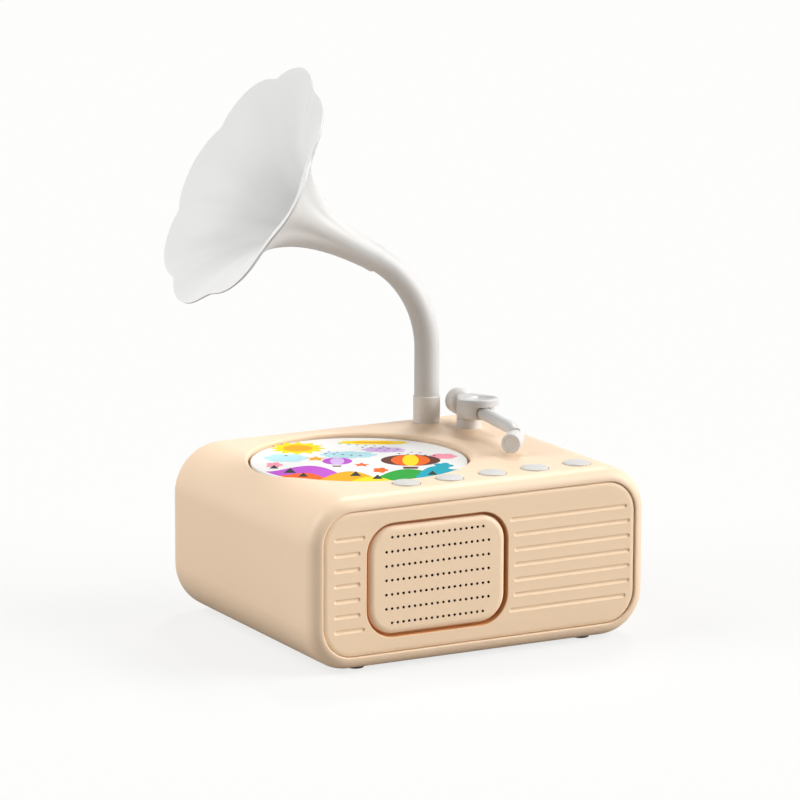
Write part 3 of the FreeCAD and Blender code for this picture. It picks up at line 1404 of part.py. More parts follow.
def make_tonearm():
    """Tonearm on its post: hub, cap, tube, head and counterweight. It points along -Y before its turn."""
    post = new_piece("tonearm_base")
    drum = new_sketch(post, "XY_Plane", 0, "drum")
    draw_circle(drum, 0, 0, s.pivot_radius)
    pad(post, drum, s.pivot_height)
    spigot = new_sketch(post, "XY_Plane", 0, "spigot")
    draw_circle(spigot, 0, 0, s.pivot_spigot)
    pad(post, spigot, s.pivot_drop, reverse=True)
    bore = new_sketch(post, "XY_Plane", s.pivot_height, "bore")
    draw_circle(bore, 0, 0, s.pin_radius + s.seat_gap)
    pocket(post, bore, s.pivot_height + s.pivot_drop / 2)
    place(post, pivot_x, pivot_y, deck)

    pin = new_piece("tonearm_pin")
    rod = new_sketch(pin, "XY_Plane", 0, "rod")
    draw_circle(rod, 0, 0, s.pin_radius)
    pad(pin, rod, s.pin_length + s.pivot_drop / 2)
    place(pin, pivot_x, pivot_y, deck - s.pivot_drop / 2)

    at = (pivot_x, pivot_y, deck, s.arm_turn)
    hub = new_piece("tonearm_hub")
    low = s.pivot_height + s.seat_gap
    upper = new_sketch(hub, "XY_Plane", s.hub_waist, "upper")
    draw_belt(upper, 0, 0, s.pivot_radius, 0, -s.hub_front, s.hub_radius)
    pad(hub, upper, s.hub_top - s.hub_waist)
    fillet(hub, s.hub_round, lies_at("Z", s.hub_waist))
    lower = new_sketch(hub, "XY_Plane", low, "lower")
    draw_circle(lower, 0, 0, s.pivot_radius)
    pad(hub, lower, s.hub_top - low)
    bore = new_sketch(hub, "XY_Plane", low, "bore")
    draw_circle(bore, 0, 0, s.pin_radius + s.running_gap)
    pocket(hub, bore, s.pin_length - low + s.press_gap, reverse=True)
    nose = s.hub_front + s.hub_radius
    socket = new_sketch(hub, "XZ_Plane", nose, "arm_socket")
    draw_circle(socket, 0, s.arm_height, s.arm_radius + s.seat_gap)
    pocket(hub, socket, s.arm_socket + s.seat_gap)
    mouth = new_sketch(hub, "XZ_Plane", nose, "arm_mouth")
    draw_circle(mouth, 0, s.arm_height, s.arm_radius + s.arm_mouth)
    pocket(hub, mouth, s.arm_mouth * 2)
    stub = new_sketch(hub, "XZ_Plane", -s.pivot_radius, "weight_socket")
    draw_circle(stub, 0, s.arm_height, s.pin_radius)
    pocket(hub, stub, s.pin_radius, reverse=True)
    place(hub, *at)

    cap = new_piece("tonearm_cap")
    plate = new_sketch(cap, "XY_Plane", 0, "plate")
    draw_belt(plate, 0, 0, s.pivot_radius, 0, -s.cap_front, s.cap_radius)
    pad(cap, plate, s.cap_high)
    slope = new_sketch(cap, "YZ_Plane", s.cap_radius * 2, "slope")
    front_end = -s.cap_front - s.cap_radius
    above = s.cap_high * 2
    draw_polygon(
        slope,
        [
            (front_end, s.cap_high),
            (s.pivot_radius, s.cap_low),
            (s.pivot_radius * 2, s.cap_low),
            (s.pivot_radius * 2, above),
            (front_end, above),
        ],
    )
    pocket(cap, slope, s.cap_radius * 4)
    fillet(cap, s.cap_round, lambda edge: edge.BoundBox.ZMin > s.cap_low.value / 2)
    rise = (s.cap_high - s.cap_low) / (s.cap_front + s.cap_radius + s.pivot_radius)
    ball_radius = s.cap_dish * s.cap_dish / (s.dish_deep * 2) + s.dish_deep / 2
    ball_up = ball_radius - s.dish_deep
    ball = cap.newObject("PartDesign::SubtractiveSphere", "dish")
    tie(ball, "Radius", ball_radius)
    tie(ball, "Placement.Base.x", s.dish_side)
    tie(ball, "Placement.Base.y", rise * ball_up - s.cap_front)
    tie(ball, "Placement.Base.z", s.cap_high - rise * s.cap_radius + ball_up)
    place(cap, pivot_x, pivot_y, deck + s.hub_top, s.arm_turn)

    arm = new_piece("tonearm_arm")
    sweep_arm(arm, s.arm_radius, "PartDesign::AdditivePipe")
    place(arm, *at)

    head = new_piece("tonearm_head")
    round_face = head.newObject("Sketcher::SketchObject", "face")
    plane = next(p for p in head.Origin.OriginFeatures if p.Role == "XZ_Plane")
    round_face.AttachmentSupport = [(plane, "")]
    round_face.MapMode = "FlatFace"
    round_face.AttachmentOffset = FreeCAD.Placement(
        Vector(0, 0, 0), FreeCAD.Rotation(Vector(0, 1, 0), -s.head_turn.value)
    )
    tie(round_face, "AttachmentOffset.Base.y", s.head_height)
    tie(round_face, "AttachmentOffset.Base.z", s.head_reach)
    tie(round_face, "AttachmentOffset.Rotation.Angle", s.head_turn)
    draw_circle(round_face, 0, 0, s.head_radius)
    pad(head, round_face, s.head_length)
    back = Vector(0, -s.head_reach.value, s.head_height.value)

    def back_edge(edge):
        return flat_circle(edge) and (edge.Curve.Center - back).Length < 0.01

    fillet(head, s.head_radius * 0.45, back_edge)
    fillet(head, s.head_radius * 0.1, lambda edge: flat_circle(edge) and not near_back(edge, back))
    sweep_arm(head, s.arm_radius + s.seat_gap, "PartDesign::SubtractivePipe")
    place(head, *at)

    weight = new_piece("counterweight")
    drum = new_sketch(weight, "XZ_Plane", -s.weight_start, "drum")
    draw_circle(drum, 0, s.arm_height, s.weight_radius)
    pad(weight, drum, s.weight_length, reverse=True)
    fillet(weight, s.weight_round, lambda edge: flat_circle(edge))
    stub = new_sketch(weight, "XZ_Plane", -s.weight_start - s.seat_gap * 10, "stub")
    draw_circle(stub, 0, s.arm_height, s.pin_radius - s.seat_gap)
    stub_length = s.weight_start + s.seat_gap * 10 - s.pivot_radius + s.pin_radius - 2 * s.seat_gap
    pad(weight, stub, stub_length)
    place(weight, *at)


def flat_circle(edge):
    """A test for circular edges."""
    return edge.Curve.TypeId == "Part::GeomCircle"


def near_back(edge, back):
    """A test for edges close to the head's back end."""
    return (edge.CenterOfMass - back).Length < s.head_length.value / 2


def sweep_arm(piece, radius, kind):
    """The tonearm's tube: straight forward from the hub, then dipping into the head."""
    dip = math.radians(s.arm_dip.value)
    start = s.hub_front + s.hub_radius - s.arm_socket
    bend_z = s.arm_height - s.arm_bend
    end_y = s.arm_straight + s.arm_bend * math.sin(dip)
    path = new_sketch(piece, "YZ_Plane", 0, "arm_line")
    low = Vector(-start.value, s.arm_height.value, 0)
    turn_at = Vector(-s.arm_straight.value, s.arm_height.value, 0)
    centre = Vector(-s.arm_straight.value, bend_z.value, 0)
    circle = Part.Circle(centre, Vector(0, 0, 1), s.arm_bend.value)
    path.addGeometry(Part.LineSegment(low, turn_at))
    path.addGeometry(Part.ArcOfCircle(circle, math.pi / 2, math.pi / 2 + dip))
    path.addConstraint(Sketcher.Constraint("Tangent", 0, 2, 1, 1))
    fix(path, "DistanceX", (-1, 1, 0, 1), -start)
    fix(path, "DistanceY", (-1, 1, 0, 1), s.arm_height)
    fix(path, "DistanceX", (-1, 1, 0, 2), -s.arm_straight)
    fix(path, "DistanceY", (-1, 1, 0, 2), s.arm_height)
    fix(path, "Radius", (1,), s.arm_bend)
    fix(path, "DistanceX", (-1, 1, 1, 2), -end_y)
    ring = new_sketch(piece, "XZ_Plane", start, "section")
    draw_circle(ring, 0, s.arm_height, radius)
    feature = piece.newObject(kind, "swept")
    feature.Profile = ring
    feature.Spine = (path, [])
    feature.Mode = "Standard"
    doc.recompute()


def make_everything():
    make_housing()
    make_base_cover()
    make_feet()
    make_fascia()
    make_grille()
    make_speaker()
    make_story_disc()
    make_platter()
    make_shaft()
    make_gears()
    make_motor()
    make_buttons()
    make_boards()
    make_battery()
    make_all_screws()
    make_collar()
    make_nut("collar_nut", horn_x, horn_y, s.collar_spigot + s.seat_gap, s.nut_thick)
    make_tube()
    make_bell()
    make_tonearm()
    make_nut("tonearm_nut", pivot_x, pivot_y, s.pivot_spigot + s.seat_gap, s.nut_thick)


def export():
    """Check every object, then write each sub-part to its own file."""
    doc.recompute()
    for thing in doc.Objects:
        if "Invalid" in thing.State or "Error" in thing.State:
            raise RuntimeError(f"{thing.Label}: {thing.State}")
    for piece in PIECES:
        if piece.Shape.isNull() or not piece.Shape.isValid() or not piece.Shape.Solids:
            raise RuntimeError(f"{piece.Label}: not a valid solid")
    os.makedirs("parts", exist_ok=True)
    for piece in PIECES:
        piece.Shape.exportStep(f"parts/{piece.Label}.step")


make_everything()
export()
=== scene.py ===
import json
import math

import bmesh
import bpy
from mathutils import Matrix, Vector


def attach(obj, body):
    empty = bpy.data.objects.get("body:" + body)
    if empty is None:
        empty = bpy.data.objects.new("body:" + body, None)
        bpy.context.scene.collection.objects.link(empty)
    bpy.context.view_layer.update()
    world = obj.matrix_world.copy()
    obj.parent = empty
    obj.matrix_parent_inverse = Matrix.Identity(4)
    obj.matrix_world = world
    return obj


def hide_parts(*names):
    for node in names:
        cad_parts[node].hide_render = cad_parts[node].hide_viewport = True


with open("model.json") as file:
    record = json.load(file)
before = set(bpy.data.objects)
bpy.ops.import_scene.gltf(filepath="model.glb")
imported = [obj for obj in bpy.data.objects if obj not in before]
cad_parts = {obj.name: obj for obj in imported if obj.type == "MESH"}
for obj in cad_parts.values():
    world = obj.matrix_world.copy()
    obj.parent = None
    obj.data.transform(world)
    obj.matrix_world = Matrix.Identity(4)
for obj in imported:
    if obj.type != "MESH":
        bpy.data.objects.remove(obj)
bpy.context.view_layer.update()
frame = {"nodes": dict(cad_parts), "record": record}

# Toy gramophone: a rounded box with a disc well, five buttons and a grille, a petal horn on a
# bent tube, and a tonearm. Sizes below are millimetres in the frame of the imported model, whose
# front faces -Y; meshes are made in metres.
MM = 0.001

# The box, and the places of what stands on it
WIDTH, DEPTH, HEIGHT = 139.3, 114.5, 63.5
DECK = 64.5
MIDDLE = 32.75
FRONT = 57.25
DISC = (-18.05, 3.1)
GRILLE = -18.05
HORN, HORN_TURN = (33.84, 45.44), -4.0
PIVOT, ARM_TURN = (43.1, 29.3), -7.5
BUTTON_X = (-24.24, -6.44, 11.36, 29.16, 46.96)
BUTTON_Y = -44.5
FEET = ((-47, -48.125), (-47, 48.125), (47, -48.125), (47, 48.125))

# Camera: degrees, millimetres for the lens, metres for the place
CAMERA_ANGLES = (-28.731, 11.793, 0.2135)
CAMERA_PLACE = (-0.88207, -1.60432, 0.46673)
LENS, SENSOR = 228.31, 36

# Light that falls on a surface facing each lamp, as a share of full white, and the width of the
# lamp in degrees
AMBIENT = 0.03
LAMPS = (
    ("front", (0.82, -0.5, 0.28), 1.0, 60),
    ("front_top", (0.6, -0.4, 0.69), 0.34, 40),
    ("left_top", (-0.67, 0.22, 0.71), 0.5, 35),
    ("left", (-0.91, 0.28, 0.27), 0.28, 35),
    ("key", (0.38, 0.42, 0.82), 0.28, 12),
)
BACKDROP = (0.985, 0.985, 0.975, 1)
FLOOR_MATT = (0.42, 0.416, 0.41, 1)
FLOOR_DIM = (0.17, 0.17, 0.17, 1)
FLOOR_GLOW = 0.79
FLOOR_HALF = 9000

scene = bpy.context.scene


# Materials

DRIFT_SCALE = 22
GRAIN_HEIGHT = 0.0002
GLOSS_DRIFT = 0.05
INK_SPECULAR = 0.15


def linear(red, green, blue):
    """A colour given as 0 to 255, as the shader wants it."""
    channels = []
    for value in (red, green, blue):
        value /= 255
        channels.append(value / 12.92 if value <= 0.04045 else ((value + 0.055) / 1.055) ** 2.4)
    return (*channels, 1.0)


def plastic(name, colour, roughness, grain, bump, scale, metallic=0.0):
    """Moulded surface: fine grain in its height, slight drift in its colour and its gloss."""
    material = bpy.data.materials.new(name)
    material.use_nodes = True
    nodes, links = material.node_tree.nodes, material.node_tree.links
    shader = nodes["Principled BSDF"]
    shader.inputs["Metallic"].default_value = metallic
    place = nodes.new("ShaderNodeTexCoord")

    drift = nodes.new("ShaderNodeTexNoise")
    drift.inputs["Scale"].default_value = DRIFT_SCALE
    drift.inputs["Detail"].default_value = 4
    links.new(place.outputs["Object"], drift.inputs["Vector"])
    tint = nodes.new("ShaderNodeMix")
    tint.data_type = "RGBA"
    low = [max(c * (1 - grain), 0) for c in colour[:3]]
    high = [min(c * (1 + grain), 1) for c in colour[:3]]
    tint.inputs["A"].default_value = (*low, 1)
    tint.inputs["B"].default_value = (*high, 1)
    links.new(drift.outputs["Fac"], tint.inputs["Factor"])
    links.new(tint.outputs["Result"], shader.inputs["Base Color"])

    fine = nodes.new("ShaderNodeTexNoise")
    fine.inputs["Scale"].default_value = scale
    fine.inputs["Detail"].default_value = 2
    links.new(place.outputs["Object"], fine.inputs["Vector"])
    height = nodes.new("ShaderNodeBump")
    height.inputs["Strength"].default_value = bump
    height.inputs["Distance"].default_value = GRAIN_HEIGHT
    links.new(fine.outputs["Fac"], height.inputs["Height"])
    links.new(height.outputs["Normal"], shader.inputs["Normal"])

    gloss = nodes.new("ShaderNodeMapRange")
    gloss.inputs["To Min"].default_value = max(roughness - GLOSS_DRIFT, 0.02)
    gloss.inputs["To Max"].default_value = min(roughness + GLOSS_DRIFT, 1)
    links.new(drift.outputs["Fac"], gloss.inputs["Value"])
    links.new(gloss.outputs["Result"], shader.inputs["Roughness"])
    return material


# Name, colour, roughness, drift of the colour, height and fineness of the grain
CREAM = plastic("cream_shell", linear(244, 215, 183), 0.4, 0.012, 0.05, 1100)
PANEL = plastic("cream_panel", linear(250, 220, 185), 0.45, 0.012, 0.06, 1100)
GRILLE_FACE = plastic("cream_grille", linear(251, 221, 187), 0.42, 0.012, 0.04, 1100)
# Darker, warmer cream for the faces inside the grille's pocket: painted shade and bounced light
# in the recess
MOAT_SHADE = plastic("cream_moat_painted_shade", linear(216, 154, 98), 0.5, 0.012, 0.04, 1100)
BASE = plastic("cream_base", linear(236, 208, 178), 0.6, 0.012, 0.12, 1400)
WHITE = plastic("white_gloss", linear(214, 213, 211), 0.36, 0.006, 0.02, 600)
# Lighter copy of the same white plastic for the horn socket and the counterweight: painted light
WHITE_LIT = plastic("white_painted_light", linear(230, 227, 222), 0.42, 0.006, 0.02, 600)
# Lighter copy of the white for the bell's inside: a rougher satin surface, and painted light in
# its colour
SATIN_LIT = plastic("white_satin_painted_light", linear(236, 236, 235), 0.46, 0.006, 0.02, 600)
BUTTON = plastic("white_button", linear(203, 202, 198), 0.4, 0.008, 0.02, 800)
EDGE = plastic("disc_edge", linear(238, 238, 236), 0.35, 0.01, 0.02, 900)
GEAR = plastic("acetal", linear(232, 230, 224), 0.4, 0.01, 0.03, 1200)
RUBBER = plastic("grey_rubber", linear(120, 112, 104), 0.8, 0.05, 0.3, 2500)
STEEL = plastic("steel", linear(176, 178, 182), 0.3, 0.03, 0.05, 1500, metallic=1.0)
BRASS = plastic("brass", linear(196, 160, 92), 0.35, 0.04, 0.05, 1500, metallic=1.0)
MAGNET = plastic("magnet", linear(52, 52, 55), 0.6, 0.05, 0.2, 1800)
# Black paper of the speaker cone, also laid on the walls and floors of the grille's blind holes
# as painted shade
PAPER_AND_HOLE_SHADE = plastic("black_cone_and_hole_shade", linear(34, 33, 33), 0.85, 0.12, 0.4, 2600)
BOARD = plastic("green_board", linear(28, 92, 58), 0.4, 0.1, 0.08, 1600)
BLACK = plastic("black_part", linear(32, 32, 34), 0.5, 0.06, 0.08, 1400)
CELL = plastic("blue_cell", linear(70, 120, 168), 0.35, 0.03, 0.02, 900)
INKS = {
    name: plastic("ink_" + name, linear(*colour), 0.6, 0.04, 0.04, 1500)
    for name, colour in {
        "yellow": (250, 216, 16),
        "gold": (238, 166, 10),
        "orange": (232, 98, 14),
        "brown": (84, 34, 6),
        "green": (22, 150, 44),
        "pine": (10, 34, 22),
        "teal": (10, 158, 178),
        "sky": (182, 226, 234),
        "violet": (186, 84, 198),
        "lilac": (214, 184, 232),
        "pink": (238, 150, 170),
        "grey": (70, 70, 84),
    }.items()
}
for ink in INKS.values():
    shader = ink.node_tree.nodes["Principled BSDF"]
    shader.inputs["Specular IOR Level"].default_value = INK_SPECULAR

BY_SLOT = {
    "shell": CREAM,
    "panel": PANEL,
    "grille": GRILLE_FACE,
    "base": BASE,
    "foot": RUBBER,
    "steel": STEEL,
    "magnet": MAGNET,
    "cone": PAPER_AND_HOLE_SHADE,
    "brass": BRASS,
    "gear": GEAR,
    "board": BOARD,
    "switch": BLACK,
    "cell": CELL,
    "button": BUTTON,
    "disc": EDGE,
    "collar": WHITE,
    "horn": WHITE,
    "tonearm": WHITE,
}
for part in frame["record"]["subparts"]:
    mesh = frame["nodes"][part["node"]].data
    mesh.materials.clear()
    mesh.materials.append(BY_SLOT[part["material_slot"]])


# Outlines and surfaces


def turns(count):
    """Angles that divide a full turn, in radians."""
    return [2 * math.pi * step / count for step in range(count)]


def circle(radius, count):
    return [(radius * math.cos(turn), radius * math.sin(turn)) for turn in turns(count)]


def swing(steps, end=90):
    """Sine and cosine of the angles from 0 to an end in degrees."""
    angles = [math.radians(end * step / steps) for step in range(steps + 1)]
    return [(math.sin(angle), math.cos(angle)) for angle in angles]


def arc(x, y, radius, start, end, steps):
    """Points along an arc, angles in degrees."""
    angles = [math.radians(start + (end - start) * step / steps) for step in range(steps + 1)]
    return [(x + radius * math.cos(angle), y + radius * math.sin(angle)) for angle in angles]


def rounded(width, height, radius, steps=16):
    """Closed outline of a rectangle with round corners, centred on the origin."""
    x, y = width / 2 - radius, height / 2 - radius
    outline = []
    for sx, sy, start in ((1, 1, 0), (-1, 1, 90), (-1, -1, 180), (1, -1, 270)):
        outline += arc(sx * x, sy * y, radius, start, start + 90, steps)
    return outline


def inside(size, corner, inset, steps=16):
    """Outline a given way inside a rounded rectangle, or outside it when negative."""
    width, height = size
    return rounded(width - 2 * inset, height - 2 * inset, corner - inset, steps)


def level(outline, z):
    """Ring from an outline at one height."""
    return [(x, y, z) for x, y in outline]


def skin(rings):
    """Closed surface through equal rings, with both ends capped."""
    count = len(rings[0])
    vertices = [point for ring in rings for point in ring]
    faces = []
    for low in range(0, len(vertices) - count, count):
        for j in range(count):
            k = (j + 1) % count
            faces.append((low + j, low + k, low + count + k, low + count + j))
    faces.append(tuple(reversed(range(count))))
    faces.append(tuple(range(len(vertices) - count, len(vertices))))
    return vertices, faces


def turned(profile, segments=96):
    """Solid of revolution about Z through (radius, height) points."""
    rings = []
    for radius, height in profile:
        rings.append(level(circle(max(radius, 0.0005), segments), height))
    return skin(rings)


def pipe(places, radius, segments):
    """Round bar through a row of places, square to the Z of each."""
    section = [Vector(point) for point in level(circle(radius, segments), 0)]
    return skin([[tuple(place @ point) for point in section] for place in places])


# Pieces and their places


def shift(x=0, y=0, z=0, turn=0):
    """A place: a point and a turn about Z in degrees."""
    return Matrix.Translation((x, y, z)) @ Matrix.Rotation(math.radians(turn), 4, "Z")


def tilt(degrees, axis):
    """A place turned about one of its axes."""
    return Matrix.Rotation(math.radians(degrees), 4, axis)


def facing_front(x, y, z):
    """A place whose own X is X, own Y is up and own Z comes out of the front."""
    return shift(x, y, z) @ tilt(90, "X")


def horn_place():
    """Frame of the horn: its own origin on the deck under the tube, X away from the bell."""
    return shift(*HORN, DECK, HORN_TURN)


def arm_place(z=0.0):
    """Frame of the tonearm at a height over the deck: the arm runs along its own -Y."""
    return shift(*PIVOT, DECK + z, ARM_TURN)


def make(name, shape, material=None, place=None):
    """A mesh object from a shape in millimetres, moved by a matrix in millimetres."""
    vertices, faces = shape
    mesh = bpy.data.meshes.new(name)
    matrix = place or Matrix()
    mesh.from_pydata([(matrix @ Vector(v)) * MM for v in vertices], [], faces)
    work = bmesh.new()
    work.from_mesh(mesh)
    bmesh.ops.remove_doubles(work, verts=work.verts, dist=1e-6)
    bmesh.ops.recalc_face_normals(work, faces=work.faces)
    work.to_mesh(mesh)
    work.free()
    if material:
        mesh.materials.append(material)
    piece = bpy.data.objects.new(name, mesh)
    scene.collection.objects.link(piece)
    return piece


def apply_modifiers(piece):
    """Bakes the piece's modifiers into its mesh."""
    graph = bpy.context.evaluated_depsgraph_get()
    mesh = bpy.data.meshes.new_from_object(piece.evaluated_get(graph))
    old = piece.data
    piece.modifiers.clear()
    piece.data = mesh
    mesh.name = old.name
    bpy.data.meshes.remove(old)


def combine(piece, others, operation="DIFFERENCE"):
    """Cuts the others out of the piece, or adds them to it."""
    for other in others:
        step = piece.modifiers.new("step", "BOOLEAN")
        step.operation = operation
        step.object = other
        step.solver = "EXACT"
    apply_modifiers(piece)
    for other in others:
        bpy.data.objects.remove(other)


def finish(piece, body, node, angle=32):
    """Smooth shading that keeps real edges, then the CAD node and the body of the piece."""
    mesh = piece.data
    mesh.shade_smooth()
    mesh.set_sharp_from_angle(angle=math.radians(angle))
    weighted = piece.modifiers.new("normals", "WEIGHTED_NORMAL")
    weighted.keep_sharp = True
    weighted.weight = 100
    apply_modifiers(piece)
    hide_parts(node)
    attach(piece, body)


def post(x, y, radius, low, high):
    """Plain round post, or its hole."""
    return make("post", turned([(radius, low), (radius, high)], 32), place=shift(x, y))


def slab(outline, low, high, place=None):
    """An outline raised from one height to another."""
    return make("slab", skin([level(outline, low), level(outline, high)]), place=place)


# Housing

# Radius of the long corners at the front and at the back
CORNER, CORNER_BACK = 17.0, 18.7
# Insets of the opening in the front, of the ledge behind it and of the inside
RIM, LEDGE, WALL = 5.1, 6.9, 2.6
# Depths of that ledge's two faces behind the front
LEDGE_FRONT, LEDGE_BACK = 2.8, 4.6
LIP_SOFT = 0.5
FRONT_ROUND, BACK_ROUND = 4.4, 7.0
# Rounding of the front edge, across the front and along the sides
EDGE_WIDE, EDGE_LONG = 4.5, 6.4
WELL_RADIUS, WELL_DEPTH, WELL_SOFT, WELL_CORNER = 41.0, 6.9, 1.2, 0.4
# How far the well's cutter flares past its soft rim, and its two heights over the deck there
WELL_FLARE, WELL_OVER = 0.9, (0.15, 6)
# Posts and round holes: radius, low and high end
WELL_BOSS = (42.6, 55.4, 62.0)
BOARD_POST, BOARD_POST_X, BOARD_POST_Y = (2.1, 54.8, 63.0), (-31.14, 55.86), (-49.5, -39.5)
COVER_POST, COVER_POST_X, COVER_POST_Y = (2.6, 2.2, 8.6), (-48, 48), (-35, 35)
CHARGE_POST, CHARGE_POST_X, CHARGE_POST_Y = (2.1, 2.3, 10.8), (27, 55), 46.1
BUSH_HOLE = (3.6, 55, 58)
FOOT_HOLE = (3.3, 0, 1.8)
# Radius of the holes in the deck, and what their cutter shares with that of the well
BUTTON_HOLE, HORN_HOLE, PIVOT_HOLE = 5.2, 4.25, 3.05
HOLE_DEPTH, HOLE_SOFT, HOLE_FLARE, HOLE_OVER = 4, 0.25, 0.3, (0.08, 3)
# Openings for the base cover: outline, low and high end
COVER_SEAT = (rounded(104, 78, 8), 0, 2.6)
COVER_OPENING = (rounded(88, 62, 0.5, 3), 0.5, 4.2)
# Openings in the back: outline and place
CHARGE_OPENING, CHARGE_AT = rounded(9.54, 3.86, 1.93, 8), (34.0, 13.63)
SWITCH_OPENING, SWITCH_AT = rounded(5.2, 2.4, 0.3, 3), (49.0, 14.1)
BACK_CUT = (-1, 4)


def corner_at(y):
    """Corner radius of the section, which grows towards the back."""
    share = (y + FRONT - FRONT_ROUND) / (DEPTH - FRONT_ROUND - BACK_ROUND)
    return CORNER + (CORNER_BACK - CORNER) * min(max(share, 0), 1)


def box_ring(inset, y):
    """Section of the housing across Y, a given way inside its full outline."""
    outline = inside((WIDTH, HEIGHT), corner_at(y), inset, 18)
    return [(x, y, MIDDLE + z) for x, z in outline]


def deck_height(x, y):
    """Height of the top surface, which falls away over the long corners."""
    corner = corner_at(y)
    past = max(abs(x) - (WIDTH / 2 - corner), 0)
    return DECK - corner + math.sqrt(max(corner**2 - past**2, 0))


def well_ring(radius, height):
    """Ring round the disc, with its height as a function of the place."""
    points = []
    for turn in turns(128):
        x, y = DISC[0] + radius * math.cos(turn), DISC[1] + radius * math.sin(turn)
        points.append((x, y, height(x, y)))
    return points


def well_cutter():
    """Disc well with a softly rounded rim that follows the top surface."""
    floor, brim = DECK - WELL_DEPTH, WELL_RADIUS + WELL_SOFT + WELL_FLARE
    rings = [
        well_ring(WELL_RADIUS - WELL_CORNER, lambda x, y: floor),
        well_ring(WELL_RADIUS, lambda x, y: floor + WELL_CORNER),
    ]
    for sine, cosine in swing(8, 82):
        radius, drop = WELL_RADIUS + WELL_SOFT - WELL_SOFT * cosine, WELL_SOFT * sine - WELL_SOFT
        rings.append(well_ring(radius, lambda x, y, drop=drop: deck_height(x, y) + drop))
    for over in WELL_OVER:
        rings.append(well_ring(brim, lambda x, y, over=over: deck_height(x, y) + over))
    return make("well_cutter", skin(rings))


def soft_hole(x, y, radius):
    """Round hole in the deck with a small soft edge."""
    profile = [(radius, -HOLE_DEPTH), (radius, -HOLE_SOFT)]
    for angle in (30, 60, 80):
        turn = math.radians(angle)
        out, drop = HOLE_SOFT - HOLE_SOFT * math.cos(turn), HOLE_SOFT * math.sin(turn) - HOLE_SOFT
        profile.append((radius + out, drop))
    profile += [(radius + HOLE_SOFT + HOLE_FLARE, over) for over in HOLE_OVER]
    return make("hole", turned(profile, 64), place=shift(x, y, DECK))


def make_housing():
    ledge_front, ledge_back = LEDGE_FRONT - FRONT, LEDGE_BACK - FRONT
    rings = [
        box_ring(WALL, FRONT - WALL),
        box_ring(WALL, ledge_back),
        box_ring(LEDGE, ledge_back),
        box_ring(LEDGE, ledge_front),
        box_ring(RIM, ledge_front),
    ]
    for sine, cosine in swing(5):
        rings.append(box_ring(RIM - LIP_SOFT * (1 - cosine), LIP_SOFT * (1 - sine) - FRONT))
    for sine, cosine in swing(20):
        rings.append(box_ring(EDGE_WIDE * (1 - sine), EDGE_LONG * (1 - cosine) - FRONT))
    for sine, cosine in swing(16):
        rings.append(box_ring(BACK_ROUND * (1 - cosine), FRONT - BACK_ROUND * (1 - sine)))
    shell = make("housing_shell", skin(rings), CREAM)

    added = [post(*DISC, *WELL_BOSS)]
    added += [post(x, y, *BOARD_POST) for x in BOARD_POST_X for y in BOARD_POST_Y]
    added += [post(x, y, *COVER_POST) for x in COVER_POST_X for y in COVER_POST_Y]
    added += [post(x, CHARGE_POST_Y, *CHARGE_POST) for x in CHARGE_POST_X]
    combine(shell, added, "UNION")

    cutters = [well_cutter(), post(*DISC, *BUSH_HOLE)]
    cutters += [soft_hole(x, BUTTON_Y, BUTTON_HOLE) for x in BUTTON_X]
    cutters += [soft_hole(*HORN, HORN_HOLE), soft_hole(*PIVOT, PIVOT_HOLE)]
    cutters += [slab(*COVER_SEAT), slab(*COVER_OPENING)]
    cutters += [post(x, y, *FOOT_HOLE) for x, y in FEET]
    back = shift(0, FRONT) @ tilt(90, "X")
    cutters.append(slab(CHARGE_OPENING, *BACK_CUT, back @ shift(*CHARGE_AT)))
    cutters.append(slab(SWITCH_OPENING, *BACK_CUT, back @ shift(*SWITCH_AT)))
    combine(shell, cutters)
    finish(shell, "housing", "housing")


# Front panel and grille

PANEL_BACK = 0.2 - FRONT
PANEL_SIZE, PANEL_CORNER, PANEL_THICK = (128.8, 53.0), 11.75, 2.6
PANEL_EDGE_WIDE, PANEL_EDGE_DEEP = 1.9, 0.75
PANEL_EDGE_ANGLES = (0, 15, 30, 42, 54, 66, 78, 90)
TRAY = (rounded(61.5, 45.5, 12.8), -4.6, -1.0)
MOAT_SIZE, MOAT_CORNER, MOAT_DEPTH, MOAT_SOFT = (57.8, 41.8), 11.0, 3.0, 0.45
MOAT_FLARE, MOAT_OVER = 0.85, (0.2, 2)
PLATE_SIZE, PLATE_CORNER, PLATE_THICK = (55.8, 39.8), 10, 3
PLATE_EDGE_WIDE, PLATE_EDGE_DEEP = 2.4, 1.5
# Half the width of an engraved line, its depth, and the spacing of the lines
GROOVE_HALF, GROOVE_DEPTH, GROOVE_PITCH = 0.85, 0.5, 5.62
# Outer ends of the lines: left, right, and right in the top and bottom row
GROOVE_LEFT, GROOVE_RIGHT, GROOVE_RIGHT_END = -60.25, 62.4, 61.0
# Inner ends of the lines: on a rounded outline this far from the grille's middle
GROOVE_NEAR, GROOVE_HIGH, GROOVE_BEND = 31.65, 23.65, 13.75
HOLE_ROWS = (17, 19, 19, 19, 19, 19, 17)
HOLE_PITCH_X, HOLE_PITCH_Y = 2.334, 5.253
HOLE_PROFILE = ((0.5, -1.9), (0.5, -0.12), (0.56, -0.03), (0.75, 0.2), (0.75, 1))
# Half size of the field that holds the holes
HOLE_FIELD = (22.5, 17)


def groove_lines():
    """Height and both ends of each engraved line, left and right of the grille."""
    for row in range(-3, 4):
        rise = row * GROOVE_PITCH
        past = max(abs(rise) - (GROOVE_HIGH - GROOVE_BEND), 0)
        bend = GROOVE_BEND * math.sqrt(1 - (past / GROOVE_BEND) ** 2)
        reach = GROOVE_NEAR - GROOVE_BEND + bend
        yield rise, GROOVE_LEFT, GRILLE - reach
        yield rise, GRILLE + reach, GROOVE_RIGHT if abs(row) < 3 else GROOVE_RIGHT_END


